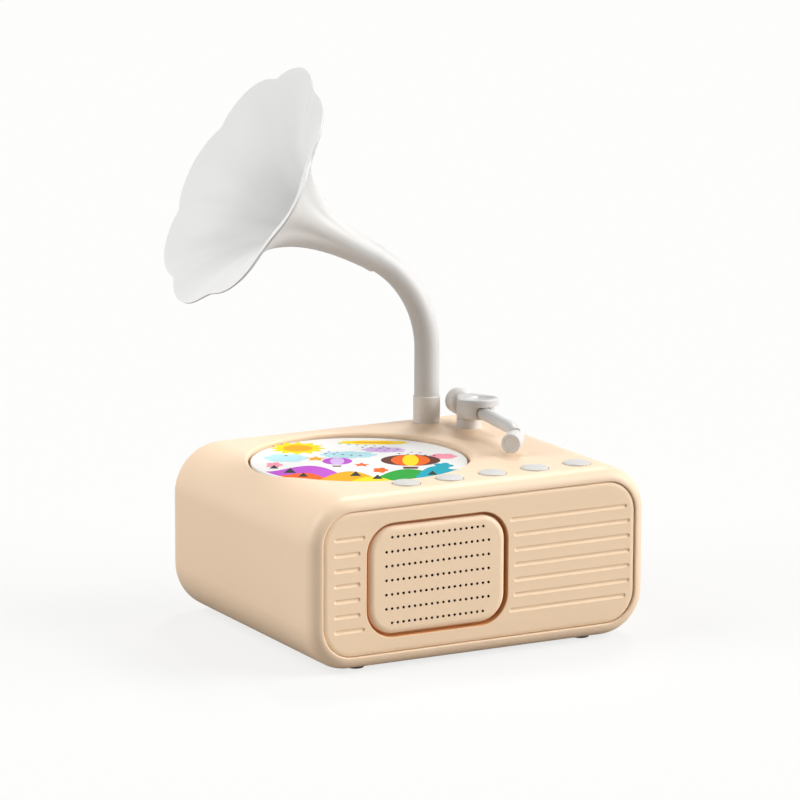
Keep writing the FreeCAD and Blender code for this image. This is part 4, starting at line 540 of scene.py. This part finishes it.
def groove_cutter(place, rise, start, end):
    """Bar with round ends whose lower part sinks one line into the panel."""
    radius = (GROOVE_HALF**2 + GROOVE_DEPTH**2) / (2 * GROOVE_DEPTH)
    length = end - start - 2 * GROOVE_HALF
    line = [(r, h - length / 2) for h, r in arc(0, 0, radius, 180, 90, 6)]
    line += [(r, h + length / 2) for h, r in arc(0, 0, radius, 90, 0, 6)]
    along = shift((start + end) / 2, rise, radius - GROOVE_DEPTH) @ tilt(90, "Y")
    return make("groove", turned(line, 48), place=place @ along)


def moat_cutter(place):
    """Pocket for the grille, with a soft edge on the panel's face."""
    rings = [level(inside(MOAT_SIZE, MOAT_CORNER, 0), -MOAT_DEPTH)]
    for sine, cosine in swing(5, 84):
        outline = inside(MOAT_SIZE, MOAT_CORNER, -MOAT_SOFT * (1 - cosine))
        rings.append(level(outline, -MOAT_SOFT * (1 - sine)))
    brim = inside(MOAT_SIZE, MOAT_CORNER, -MOAT_FLARE)
    rings += [level(brim, over) for over in MOAT_OVER]
    return make("moat", skin(rings), place=place)


def make_fascia():
    """Panel with engraved lines and a tray for the grille."""
    place = facing_front(0, PANEL_BACK, MIDDLE)
    rings = [level(inside(PANEL_SIZE, PANEL_CORNER, 0, 18), -PANEL_THICK)]
    for angle in PANEL_EDGE_ANGLES:
        turn = math.radians(angle)
        inset = PANEL_EDGE_WIDE * (1 - math.cos(turn))
        outline = inside(PANEL_SIZE, PANEL_CORNER, inset, 18)
        rings.append(level(outline, -PANEL_EDGE_DEEP * (1 - math.sin(turn))))
    panel = make("front_panel", skin(rings), PANEL, place)
    combine(panel, [slab(*TRAY, place @ shift(GRILLE))], "UNION")
    cutters = [moat_cutter(place @ shift(GRILLE))]
    cutters += [groove_cutter(place, *line) for line in groove_lines()]
    combine(panel, cutters)

    # Faces inside the grille's pocket take the darker cream: painted shade in the recess
    panel.data.materials.append(MOAT_SHADE)
    for face in panel.data.polygons:
        x, y, z = face.center / MM
        across, up = abs(x - GRILLE) - MOAT_SIZE[0] / 2, abs(z - MIDDLE) - MOAT_SIZE[1] / 2
        if max(across, up) < 0.3 and y > PANEL_BACK + 0.05:
            face.material_index = 1
    finish(panel, "housing", "front_fascia")


def make_grille():
    """Pillow-shaped plate with rows of small blind holes, painted black inside as painted shade.
    """
    place = facing_front(GRILLE, PANEL_BACK, MIDDLE)
    rings = [level(inside(PLATE_SIZE, PLATE_CORNER, 0), -PLATE_THICK)]
    for sine, cosine in swing(12):
        outline = inside(PLATE_SIZE, PLATE_CORNER, PLATE_EDGE_WIDE * (1 - cosine))
        rings.append(level(outline, -PLATE_EDGE_DEEP * (1 - sine)))
    plate = make("grille_plate", skin(rings), GRILLE_FACE, place)

    vertices, faces = [], []
    for row, count in enumerate(HOLE_ROWS):
        y = (3 - row) * HOLE_PITCH_Y
        for hole in range(count):
            x = (hole - (count - 1) / 2) * HOLE_PITCH_X
            points, sides = turned(HOLE_PROFILE, 16)
            faces += [tuple(len(vertices) + i for i in side) for side in sides]
            vertices += [(x + px, y + py, pz) for px, py, pz in points]
    combine(plate, [make("holes", (vertices, faces), place=place)])

    # Hole walls and floors in the field take the black paper: painted shade
    plate.data.materials.append(PAPER_AND_HOLE_SHADE)
    for face in plate.data.polygons:
        x, y, z = face.center / MM
        in_field = abs(x - GRILLE) < HOLE_FIELD[0] and abs(z - MIDDLE) < HOLE_FIELD[1]
        if in_field and y > PANEL_BACK + 0.15:
            face.material_index = 1
    finish(plate, "housing", "speaker_grille")


# Disc and its print

DISC_RADIUS, DISC_THICK, DISC_SOFT = 40, 1.6, 0.35
DISC_TOP = DECK - 1.65
PRINT_RADIUS = 38.9
PRINT_TURN = -28.73
# The print's shapes lie over one another, each a hair higher than the last
PRINT_LIFT, PRINT_STEP = 0.006, 0.0006


def make_disc():
    low, high = DISC_SOFT, DISC_THICK - DISC_SOFT
    profile = [(0, 0), (DISC_RADIUS - DISC_SOFT, 0)]
    profile += arc(DISC_RADIUS - DISC_SOFT, low, DISC_SOFT, -90, 0, 4)
    profile += arc(DISC_RADIUS - DISC_SOFT, high, DISC_SOFT, 0, 90, 4)
    profile.append((0, DISC_THICK))
    disc = make("disc_blank", turned(profile, 160), EDGE, shift(*DISC, DISC_TOP - DISC_THICK))
    finish(disc, "disc", "story_disc")


def blob(u, v, wide, high, lobes=0, deep=0.0, count=48):
    """Oval outline, with lobes for a cloud or a flower."""
    outline = []
    for turn in turns(count):
        grow = 1 + deep * abs(math.cos(lobes * turn / 2))
        outline.append((u + wide * grow * math.cos(turn), v + high * grow * math.sin(turn)))
    return outline


def star(u, v, size, points=5, inner=0.45):
    outline = []
    for step in range(2 * points):
        turn = math.pi * (step / points + 0.5)
        r = size if step % 2 == 0 else size * inner
        outline.append((u + r * math.cos(turn), v + r * math.sin(turn)))
    return outline


def hill(start, end, high, count=30):
    """Rounded hill that stands on the near edge of the disc."""
    low, top = [], []
    for step in range(count + 1):
        u = start + (end - start) * step / count
        edge = -math.sqrt(max(PRINT_RADIUS**2 - u**2, 0))
        low.append((u, edge))
        top.append((u, edge + 0.02 + (high - edge) * math.sin(math.pi * step / count) ** 0.8))
    return low + top[::-1]


def tree(u, v, size):
    return [(u - size * 0.55, v - size), (u + size * 0.55, v - size), (u, v + size)]


PICTURE = [
    # Clouds
    ("sky", blob(-27, 4, 7, 6, 6, 0.2)),
    ("sky", blob(-4, 10, 9, 5, 8, 0.2)),
    ("lilac", blob(9, 19, 7, 4, 8, 0.2)),
    ("pink", blob(31, 8, 4.5, 4, 6, 0.2)),
    # Sun, and a golden cloud at the far edge
    ("yellow", star(-23, 21, 11, 12, 0.72)),
    ("gold", blob(-23, 21, 5.5, 5.5)),
    ("yellow", blob(5, 31.5, 12, 3.2, 10, 0.15)),
    ("gold", blob(5, 31.5, 8, 1.4)),
    # Hills
    ("violet", hill(-34, -2, -9)),
    ("orange", hill(-29, -10, -21)),
    ("gold", hill(-15, 9, -18)),
    ("green", hill(4, 32, -14)),
    ("teal", hill(20, 36.5, -9)),
    ("yellow", hill(-4, 14, -27)),
    # Stars
    ("gold", star(-16, 3, 4.2)),
    ("orange", star(1, -7, 3.6)),
    # Two balloons with their baskets
    ("brown", blob(19, 1, 11, 9.5)),
    ("orange", blob(19, 1, 7.2, 9.5)),
    ("yellow", blob(19, 1, 3.0, 9.5)),
    ("brown", [(16.5, -13.5), (21.5, -13.5), (22, -10), (16, -10)]),
    ("violet", blob(-8, -1, 5.5, 6)),
    ("lilac", blob(-8, -1, 2.6, 6)),
    ("brown", [(-9.5, -10.5), (-6.5, -10.5), (-6.2, -8.5), (-9.8, -8.5)]),
    # Flowers
    ("teal", blob(31, -8, 2.6, 3.4, 5, 0.5)),
    ("orange", blob(8, -16, 2.0, 3.0, 5, 0.5)),
    ("pink", blob(-31, -8, 2.2, 3.2, 5, 0.5)),
    # Trees
    ("pine", tree(-25, -17, 4.2)),
    ("pine", tree(-20, -24, 3.4)),
    ("pine", tree(-1, -22, 4.0)),
    ("pine", tree(7, -27, 3.6)),
    ("pine", tree(27, -20, 3.4)),
    ("pine", tree(-31, -11, 3.0)),
]
# Small dots in the sky, spread evenly by two irrational steps, but not on the sun
DOTS = 44
for number in range(DOTS):
    u = -27 + 58 * ((number * 0.618034) % 1)
    v = 8 + 22 * ((number * 0.754878) % 1)
    if math.hypot(u, v) < 36 and math.hypot(u + 23, v - 21) > 12:
        ink = ("grey", "teal", "grey", "violet")[number % 4]
        PICTURE.append((ink, star(u, v, 0.9, 4, 0.5)))


def make_print():
    """Printed picture on the disc."""
    names = sorted(INKS)
    vertices, faces = [], []
    for number, (ink, outline) in enumerate(PICTURE):
        faces.append(tuple(range(len(vertices), len(vertices) + len(outline))))
        vertices += level(outline, PRINT_LIFT + PRINT_STEP * number)
    mesh = bpy.data.meshes.new("disc_print")
    place = shift(*DISC, DISC_TOP, PRINT_TURN)
    mesh.from_pydata([(place @ Vector(v)) * MM for v in vertices], [], faces)
    for name in names:
        mesh.materials.append(INKS[name])
    for face, (ink, outline) in zip(mesh.polygons, PICTURE):
        face.material_index = names.index(ink)
    picture = bpy.data.objects.new("disc_print", mesh)
    scene.collection.objects.link(picture)
    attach(picture, "disc")


# Buttons and feet

BUTTON_RADIUS, BUTTON_LOW, BUTTON_SOFT = 5, -3.85, 0.5
BUTTON_RIM, BUTTON_SHOULDER, BUTTON_CROWN = 0.1, 0.57, 1.0
BUTTON_SHARES = (0.84, 0.7, 0.55, 0.4, 0.25, 0.12)
FOOT_RADIUS, FOOT_HIGH, FOOT_SOFT = 3.25, 1.8, 0.35


def make_button(number, x):
    """Push button with a soft rim and a shallow crown."""
    profile = [(0, BUTTON_LOW), (BUTTON_RADIUS, BUTTON_LOW), (BUTTON_RADIUS, BUTTON_RIM)]
    profile += arc(BUTTON_RADIUS - BUTTON_SOFT, BUTTON_RIM, BUTTON_SOFT, 0, 70, 5)
    for share in BUTTON_SHARES:
        rise = (BUTTON_CROWN - BUTTON_SHOULDER) * (1 - (share / 0.9) ** 2)
        profile.append((BUTTON_RADIUS * share, BUTTON_SHOULDER + rise))
    profile.append((0, BUTTON_CROWN))
    cap = make(f"button_cap_{number}", turned(profile, 64), BUTTON, shift(x, BUTTON_Y, DECK))
    finish(cap, f"button_{number}", f"button_{number}")


def make_foot(number, x, y):
    flat = FOOT_RADIUS - FOOT_SOFT
    profile = [(0, 0), (flat, 0)] + arc(flat, FOOT_SOFT, FOOT_SOFT, -90, 0, 4)
    profile += [(FOOT_RADIUS, FOOT_HIGH), (0, FOOT_HIGH)]
    foot = make(f"rubber_foot_{number}", turned(profile, 48), RUBBER, shift(x, y, 0))
    finish(foot, "housing", f"foot_{number}")


# Horn

COLLAR_RADIUS, COLLAR_HIGH, COLLAR_SOFT = 5.1, 10.55, 0.7
COLLAR_STEM, COLLAR_DOWN = 4.2, -7
TUBE_RADIUS, TUBE_START, RISE = 4.75, 10.0, 28.0
BEND, BEND_RADIUS = 60.0, 42.0
BELL_LENGTH, BELL_RADIUS, BELL_START, BELL_CORE = 62.2, 47.0, 4.5, 0.7
BELL_GROWTH = math.log((BELL_RADIUS - BELL_START) / BELL_CORE) / BELL_LENGTH
BELL_WALL = 1.15
PETALS, PETAL_HIGH, PETAL_POWER, PETAL_BLUNT = 8, 1.9, 2.6, 0.012
CREASE_DEEP, CREASE_WIDE, CREASE_POWER = 0.45, 0.22, 1.5
BELL_ROWS, BELL_ROW_POWER, BELL_COUNT = 60, 0.85, PETALS * 24
# Sleeve at the start of the bell: radius and distance along it
SLEEVE = ((4.98, 1.5), (4.98, 0.1), (5.08, 0), (5.3, 0), (5.42, 0.12), (5.42, 0.9))
# Last two rings outside: share of the length and how far in; the inside is widened at the rim
RIM_RINGS, RIM_SLANT = ((0.992, 0), (1, 0.4)), 1.006
# Rows of the inside that have the rougher satin surface, painted lighter as painted light
SATIN_LIT_ROWS = 40


def make_collar():
    profile = [(0, COLLAR_DOWN), (COLLAR_STEM, COLLAR_DOWN), (COLLAR_STEM, 0), (COLLAR_RADIUS, 0)]
    profile += arc(COLLAR_RADIUS - COLLAR_SOFT, COLLAR_HIGH - COLLAR_SOFT, COLLAR_SOFT, 0, 90, 6)
    profile += [(TUBE_RADIUS, COLLAR_HIGH), (0, COLLAR_HIGH - 0.15)]
    # The socket takes the lighter copy of the white: painted light
    collar = make("horn_socket", turned(profile, 64), WHITE_LIT, shift(*HORN, DECK))
    finish(collar, "housing", "horn_collar")


def along_bend(degrees):
    """Place in the horn's frame at an angle along the bend, Z along the tube."""
    turn = math.radians(degrees)
    x, z = -BEND_RADIUS * (1 - math.cos(turn)), RISE + BEND_RADIUS * math.sin(turn)
    return Matrix.Translation((x, 0, z)) @ Matrix.Rotation(-turn, 4, "Y")


def make_tube():
    places = [Matrix.Translation((0, 0, TUBE_START))]
    places += [along_bend(BEND * step / 40) for step in range(41)]
    tube = make("bent_tube", pipe(places, TUBE_RADIUS, 64), WHITE, horn_place())
    finish(tube, "horn", "horn_tube")


def bell_turns():
    """Angles round the bell, from the middle of a petal."""
    return [2 * math.pi * (step / BELL_COUNT + 0.5 / PETALS) for step in range(BELL_COUNT)]


def sleeve_ring(radius, reach):
    return [(radius * math.cos(turn), radius * math.sin(turn), reach) for turn in bell_turns()]


def bell_ring(along, inward):
    """Ring of the bell: eight petals that grow towards the rim, with a crease between them."""
    flare = BELL_CORE * math.exp(BELL_GROWTH * along)
    slope = math.atan(BELL_GROWTH * flare)
    size = BELL_START + flare - inward * math.cos(slope)
    reach = along + inward * math.sin(slope)
    share = along / BELL_LENGTH
    points = []
    for turn in bell_turns():
        wave = math.sin(PETALS * (turn - math.pi / PETALS) / 2)
        petal = 2 * math.sqrt(wave**2 + PETAL_BLUNT) - 1
        radius = size + PETAL_HIGH * petal * share**PETAL_POWER
        crease = CREASE_DEEP * math.exp(-((wave / CREASE_WIDE) ** 2)) * share**CREASE_POWER
        points.append((radius * math.cos(turn), radius * math.sin(turn), reach - crease))
    return points


def bell_row(step):
    """Distance along the bell of one of its rows, closer together towards the rim."""
    return BELL_LENGTH * (step / BELL_ROWS) ** BELL_ROW_POWER


def make_bell():
    """Bell with an outside and an inside that meet at the rim and in the sleeve."""
    outer = [sleeve_ring(radius, reach) for radius, reach in SLEEVE]
    outer += [bell_ring(bell_row(step), 0) for step in range(2, BELL_ROWS)]
    outer += [bell_ring(BELL_LENGTH * share, inward) for share, inward in RIM_RINGS]
    inner = [bell_ring(bell_row(step), BELL_WALL) for step in range(BELL_ROWS, 3, -1)]
    inner[0] = [(x * RIM_SLANT, y * RIM_SLANT, z) for x, y, z in inner[0]]
    vertices = [point for ring in outer + inner for point in ring]
    rows = len(outer) + len(inner)
    faces = []
    for row in range(rows):
        low, high = row * BELL_COUNT, ((row + 1) % rows) * BELL_COUNT
        for j in range(BELL_COUNT):
            k = (j + 1) % BELL_COUNT
            faces.append((low + j, low + k, high + k, high + j))
    bell = make("petal_bell", (vertices, faces), WHITE, horn_place() @ along_bend(BEND))

    # The inside rows take the lighter satin white: painted light
    bell.data.materials.append(SATIN_LIT)
    first = len(outer) * BELL_COUNT
    last = first + SATIN_LIT_ROWS * BELL_COUNT
    for face in bell.data.polygons:
        if min(face.vertices) >= first and max(face.vertices) < last:
            face.material_index = 1
    finish(bell, "horn", "horn_bell")


# Tonearm: the heights of its pieces are over the deck

ARM_HIGH, ARM_RADIUS = 8.1, 2.42
# Where the arm's straight part starts and ends, and how its end bends down
ARM_START, ARM_STRAIGHT, ARM_BEND, ARM_BEND_RADIUS = -12.0, -41.0, 32, 8
POST_RADIUS, POST_HIGH, POST_SOFT = 4.6, 3.6, 0.4
POST_STEM, POST_DOWN = 3.0, -5.6
# Hub and its foot: radius at the pivot and at the front end, and how far apart these are
HUB, HUB_FOOT = (4.6, 6.1, 9.6), (3.9, 4.5, 9.6)
HUB_LOW, HUB_HIGH, HUB_SOFT, HUB_SOFT_BACK = 5.5, 10.6, 1.6, 0.44
NECK_PROFILE = ((0, 3.65), (4.45, 3.65), (4.6, 3.8), (4.6, 9), (0, 9))
MOUTH_AT = -15.7
MOUTH_PROFILE = (
    (0, -1.45), (3.0, -1.45), (3.12, -1.3), (3.12, -0.2), (3.4, 0.5), (3.4, 2), (0, 2),
)
# Cap: like the hub, with its thickness, its slopes along and across, and its dish
CAP_BACK, CAP_FRONT, CAP_APART, CAP_SOFT = 4.6, 7.8, 9.3, 0.85
CAP_THICK, CAP_SLOPE, CAP_ROLL = 1.5, 1.5 / 21.7, 0.02
DISH_MIDDLE, DISH_RADIUS, DISH_DEEP = Vector((0.8, -9.3)), 5.3, 1.2
DISH_SHARES = (1.08, 1.02, 0.97, 0.9, 0.8, 0.68, 0.52, 0.35, 0.18, 0.03)
HEAD_RADIUS, HEAD_LONG, HEAD_DOME, HEAD_SOFT = 3.65, 9.5, 1.6, 0.35
HEAD_AT, HEAD_TURN = (0, -46.8, 5.0), -34.5
# Dish in the head's end: radius at its brim and at its foot, depth
HEAD_DISH = (2.55, 2.45, 0.12)
WEIGHT_RADIUS, WEIGHT_LONG, WEIGHT_SOFT, WEIGHT_AT = 4.95, 8, 1.6, 5.0
WEIGHT_STEM, WEIGHT_DOWN = 1.4, -2.0


def belt(back, front, apart, steps=24):
    """Outline round a circle at the pivot and a circle further forward."""
    lean = math.degrees(math.acos((back - front) / apart))
    outline = arc(0, -apart, front, -90 - lean, -90 + lean, steps)
    return outline + arc(0, 0, back, -90 + lean, 270 - lean, steps)


def cap_belt(inset):
    return belt(CAP_BACK - inset, CAP_FRONT - inset, CAP_APART)


def cap_top(x, y):
    return CAP_THICK + CAP_SLOPE * (CAP_BACK - y) + CAP_ROLL * x


def dish_fall(share):
    """Depth of the cap's dish at a share of its radius, past 0.9 the soft brim."""
    if share > 0.9:
        return DISH_DEEP * 0.27 * ((1.08 - share) / 0.18) ** 2
    return DISH_DEEP * (1 - share**3)


def make_cap():
    """Spoon-shaped plate that rises towards its front end, with a shallow dish in it."""
    rings = [level(cap_belt(inset), z) for inset, z in ((0.3, 0), (0.09, 0.09), (0, 0.3))]
    for sine, cosine in swing(7):
        drop = CAP_SOFT * (1 - sine)
        outline = cap_belt(CAP_SOFT * (1 - cosine))
        rings.append([(x, y, cap_top(x, y) - drop) for x, y in outline])

    edge = [Vector(point) for point in cap_belt(CAP_SOFT)]
    outward = [(point - DISH_MIDDLE).normalized() for point in edge]
    for share in (0.35, 0.7):
        ring = []
        for point, out in zip(edge, outward):
            x, y = point.lerp(DISH_MIDDLE + out * (DISH_RADIUS + 0.4), share)
            ring.append((x, y, cap_top(x, y)))
        rings.append(ring)
    for share in DISH_SHARES:
        ring = []
        for out in outward:
            x, y = DISH_MIDDLE + out * (DISH_RADIUS * share)
            ring.append((x, y, cap_top(x, y) - dish_fall(share)))
        rings.append(ring)
    cap = make("arm_cap", skin(rings), WHITE, arm_place(HUB_HIGH))
    finish(cap, "tonearm", "tonearm_cap")


def make_post():
    profile = [(0, POST_DOWN), (POST_STEM, POST_DOWN), (POST_STEM, 0), (POST_RADIUS, 0)]
    profile += arc(POST_RADIUS - POST_SOFT, POST_HIGH - POST_SOFT, POST_SOFT, 0, 90, 4)
    profile.append((0, POST_HIGH))
    pillar = make("tonearm_post", turned(profile, 64), WHITE, shift(*PIVOT, DECK))
    finish(pillar, "housing", "tonearm_base")


def make_hub():
    """Block over the post, rounded below, with a round mouth for the arm."""
    back, front, apart = HUB
    rings = [level(belt(*HUB_FOOT), HUB_LOW)]
    for sine, cosine in swing(6)[1:]:
        inset = HUB_SOFT * (1 - sine)
        outline = belt(back - HUB_SOFT_BACK * inset, front - inset, apart)
        rings.append(level(outline, HUB_LOW + HUB_SOFT * (1 - cosine)))
    rings.append(level(belt(*HUB), HUB_HIGH))
    hub = make("arm_hub", skin(rings), WHITE, arm_place())
    neck = make("neck", turned(NECK_PROFILE, 64), place=arm_place())
    combine(hub, [neck], "UNION")
    entry = arm_place(ARM_HIGH) @ shift(0, MOUTH_AT) @ tilt(90, "X")
    combine(hub, [make("mouth", turned(MOUTH_PROFILE, 48), place=entry)])
    finish(hub, "tonearm", "tonearm_hub")


def make_arm():
    """Round arm that bends down at its front end."""
    places = [shift(0, y, ARM_HIGH) @ tilt(90, "X") for y in (ARM_START, ARM_STRAIGHT)]
    for step in range(1, 13):
        degrees = ARM_BEND * step / 12
        turn = math.radians(degrees)
        y = ARM_STRAIGHT - ARM_BEND_RADIUS * math.sin(turn)
        z = ARM_HIGH - ARM_BEND_RADIUS * (1 - math.cos(turn))
        places.append(shift(0, y, z) @ tilt(90 + degrees, "X"))
    tube = make("arm_tube", pipe(places, ARM_RADIUS, 40), WHITE, arm_place())
    finish(tube, "tonearm", "tonearm_arm")


def make_head():
    """Round head across the arm's end: domed at the back, a shallow dish in front."""
    brim, foot, deep = HEAD_DISH
    profile = [(0, 0), (HEAD_RADIUS - HEAD_DOME, 0)]
    profile += arc(HEAD_RADIUS - HEAD_DOME, HEAD_DOME, HEAD_DOME, -90, 0, 8)
    profile += arc(HEAD_RADIUS - HEAD_SOFT, HEAD_LONG - HEAD_SOFT, HEAD_SOFT, 0, 90, 4)
    profile += [(brim, HEAD_LONG), (foot, HEAD_LONG - deep), (0, HEAD_LONG - deep)]
    place = arm_place() @ Matrix.Translation(HEAD_AT) @ tilt(HEAD_TURN, "Z") @ tilt(90, "X")
    head = make("arm_head", turned(profile, 72), WHITE, place)
    finish(head, "tonearm", "tonearm_head")


def make_weight():
    flat = WEIGHT_RADIUS - WEIGHT_SOFT
    profile = [(0, WEIGHT_DOWN), (WEIGHT_STEM, WEIGHT_DOWN), (WEIGHT_STEM, 0), (flat, 0)]
    profile += arc(flat, WEIGHT_SOFT, WEIGHT_SOFT, -90, 0, 6)
    profile += arc(flat, WEIGHT_LONG - WEIGHT_SOFT, WEIGHT_SOFT, 0, 90, 6)
    profile.append((0, WEIGHT_LONG))
    place = arm_place(ARM_HIGH) @ shift(0, WEIGHT_AT) @ tilt(-90, "X")
    # The counterweight takes the lighter copy of the white: painted light
    weight = make("arm_weight", turned(profile, 64), WHITE_LIT, place)
    finish(weight, "tonearm", "counterweight")


make_housing()
make_fascia()
make_grille()
make_disc()
make_print()
for number, x in enumerate(BUTTON_X, 1):
    make_button(number, x)
for number, (x, y) in enumerate(FEET, 1):
    make_foot(number, x, y)
make_collar()
make_tube()
make_bell()
make_post()
make_hub()
make_cap()
make_arm()
make_head()
make_weight()


# Floor, light and camera


def make_floor():
    """Matt floor that takes the shadow; the camera sees it dim under a pale glow."""
    low, high = -FLOOR_HALF, FLOOR_HALF
    corners = [(low, low, 0), (high, low, 0), (high, high, 0), (low, high, 0)]
    floor = make("floor", (corners, [(0, 1, 2, 3)]))
    material = bpy.data.materials.new("pale_floor")
    material.use_nodes = True
    nodes, links = material.node_tree.nodes, material.node_tree.links
    nodes.clear()
    out = nodes.new("ShaderNodeOutputMaterial")
    matt, dim = nodes.new("ShaderNodeBsdfDiffuse"), nodes.new("ShaderNodeBsdfDiffuse")
    matt.inputs["Color"].default_value = FLOOR_MATT
    dim.inputs["Color"].default_value = FLOOR_DIM
    glow = nodes.new("ShaderNodeEmission")
    glow.inputs["Color"].default_value = BACKDROP
    glow.inputs["Strength"].default_value = FLOOR_GLOW
    seen, pick = nodes.new("ShaderNodeAddShader"), nodes.new("ShaderNodeMixShader")
    path = nodes.new("ShaderNodeLightPath")
    links.new(dim.outputs["BSDF"], seen.inputs[0])
    links.new(glow.outputs["Emission"], seen.inputs[1])
    links.new(path.outputs["Is Camera Ray"], pick.inputs["Fac"])
    links.new(matt.outputs["BSDF"], pick.inputs[1])
    links.new(seen.outputs["Shader"], pick.inputs[2])
    links.new(pick.outputs["Shader"], out.inputs["Surface"])
    floor.data.materials.append(material)


def make_world():
    """Dim for diffuse light; white where the camera, a reflection or glass sees it."""
    world = bpy.data.worlds.new("studio")
    scene.world = world
    world.use_nodes = True
    nodes, links = world.node_tree.nodes, world.node_tree.links
    nodes.clear()
    out = nodes.new("ShaderNodeOutputWorld")
    mix = nodes.new("ShaderNodeMixShader")
    dim, bright = nodes.new("ShaderNodeBackground"), nodes.new("ShaderNodeBackground")
    dim.inputs["Color"].default_value = (1, 1, 1, 1)
    dim.inputs["Strength"].default_value = AMBIENT
    bright.inputs["Color"].default_value = BACKDROP
    bright.inputs["Strength"].default_value = 1.0
    path = nodes.new("ShaderNodeLightPath")
    seen, mirrored = nodes.new("ShaderNodeMath"), nodes.new("ShaderNodeMath")
    seen.operation = mirrored.operation = "MAXIMUM"
    links.new(path.outputs["Is Camera Ray"], seen.inputs[0])
    links.new(path.outputs["Is Glossy Ray"], seen.inputs[1])
    links.new(seen.outputs["Value"], mirrored.inputs[0])
    links.new(path.outputs["Is Transmission Ray"], mirrored.inputs[1])
    links.new(mirrored.outputs["Value"], mix.inputs["Fac"])
    links.new(dim.outputs["Background"], mix.inputs[1])
    links.new(bright.outputs["Background"], mix.inputs[2])
    links.new(mix.outputs["Shader"], out.inputs["Surface"])


def make_lamp(name, towards, share, angle):
    light = bpy.data.lights.new(name, "SUN")
    light.energy = share * math.pi
    light.angle = math.radians(angle)
    lamp = bpy.data.objects.new(name, light)
    direction = Vector(towards)
    lamp.rotation_mode = "QUATERNION"
    lamp.rotation_quaternion = direction.to_track_quat("Z", "Y")
    lamp.location = direction
    scene.collection.objects.link(lamp)


def make_camera():
    camera = bpy.data.cameras.new("camera")
    camera.lens = LENS
    camera.sensor_width = SENSOR
    camera.clip_start, camera.clip_end = 0.05, 30
    viewer = bpy.data.objects.new("camera", camera)
    azimuth, elevation, roll = (math.radians(angle) for angle in CAMERA_ANGLES)
    flat = math.cos(elevation)
    away = Vector((math.sin(azimuth) * flat, -math.cos(azimuth) * flat, math.sin(elevation)))
    viewer.rotation_mode = "QUATERNION"
    turn = (-away).to_track_quat("-Z", "Y").to_matrix() @ Matrix.Rotation(roll, 3, "Z")
    viewer.rotation_quaternion = turn.to_quaternion()
    viewer.location = CAMERA_PLACE
    scene.collection.objects.link(viewer)
    scene.camera = viewer


make_floor()
make_world()
for lamp in LAMPS:
    make_lamp(*lamp)
make_camera()
scene.view_settings.view_transform = "Standard"
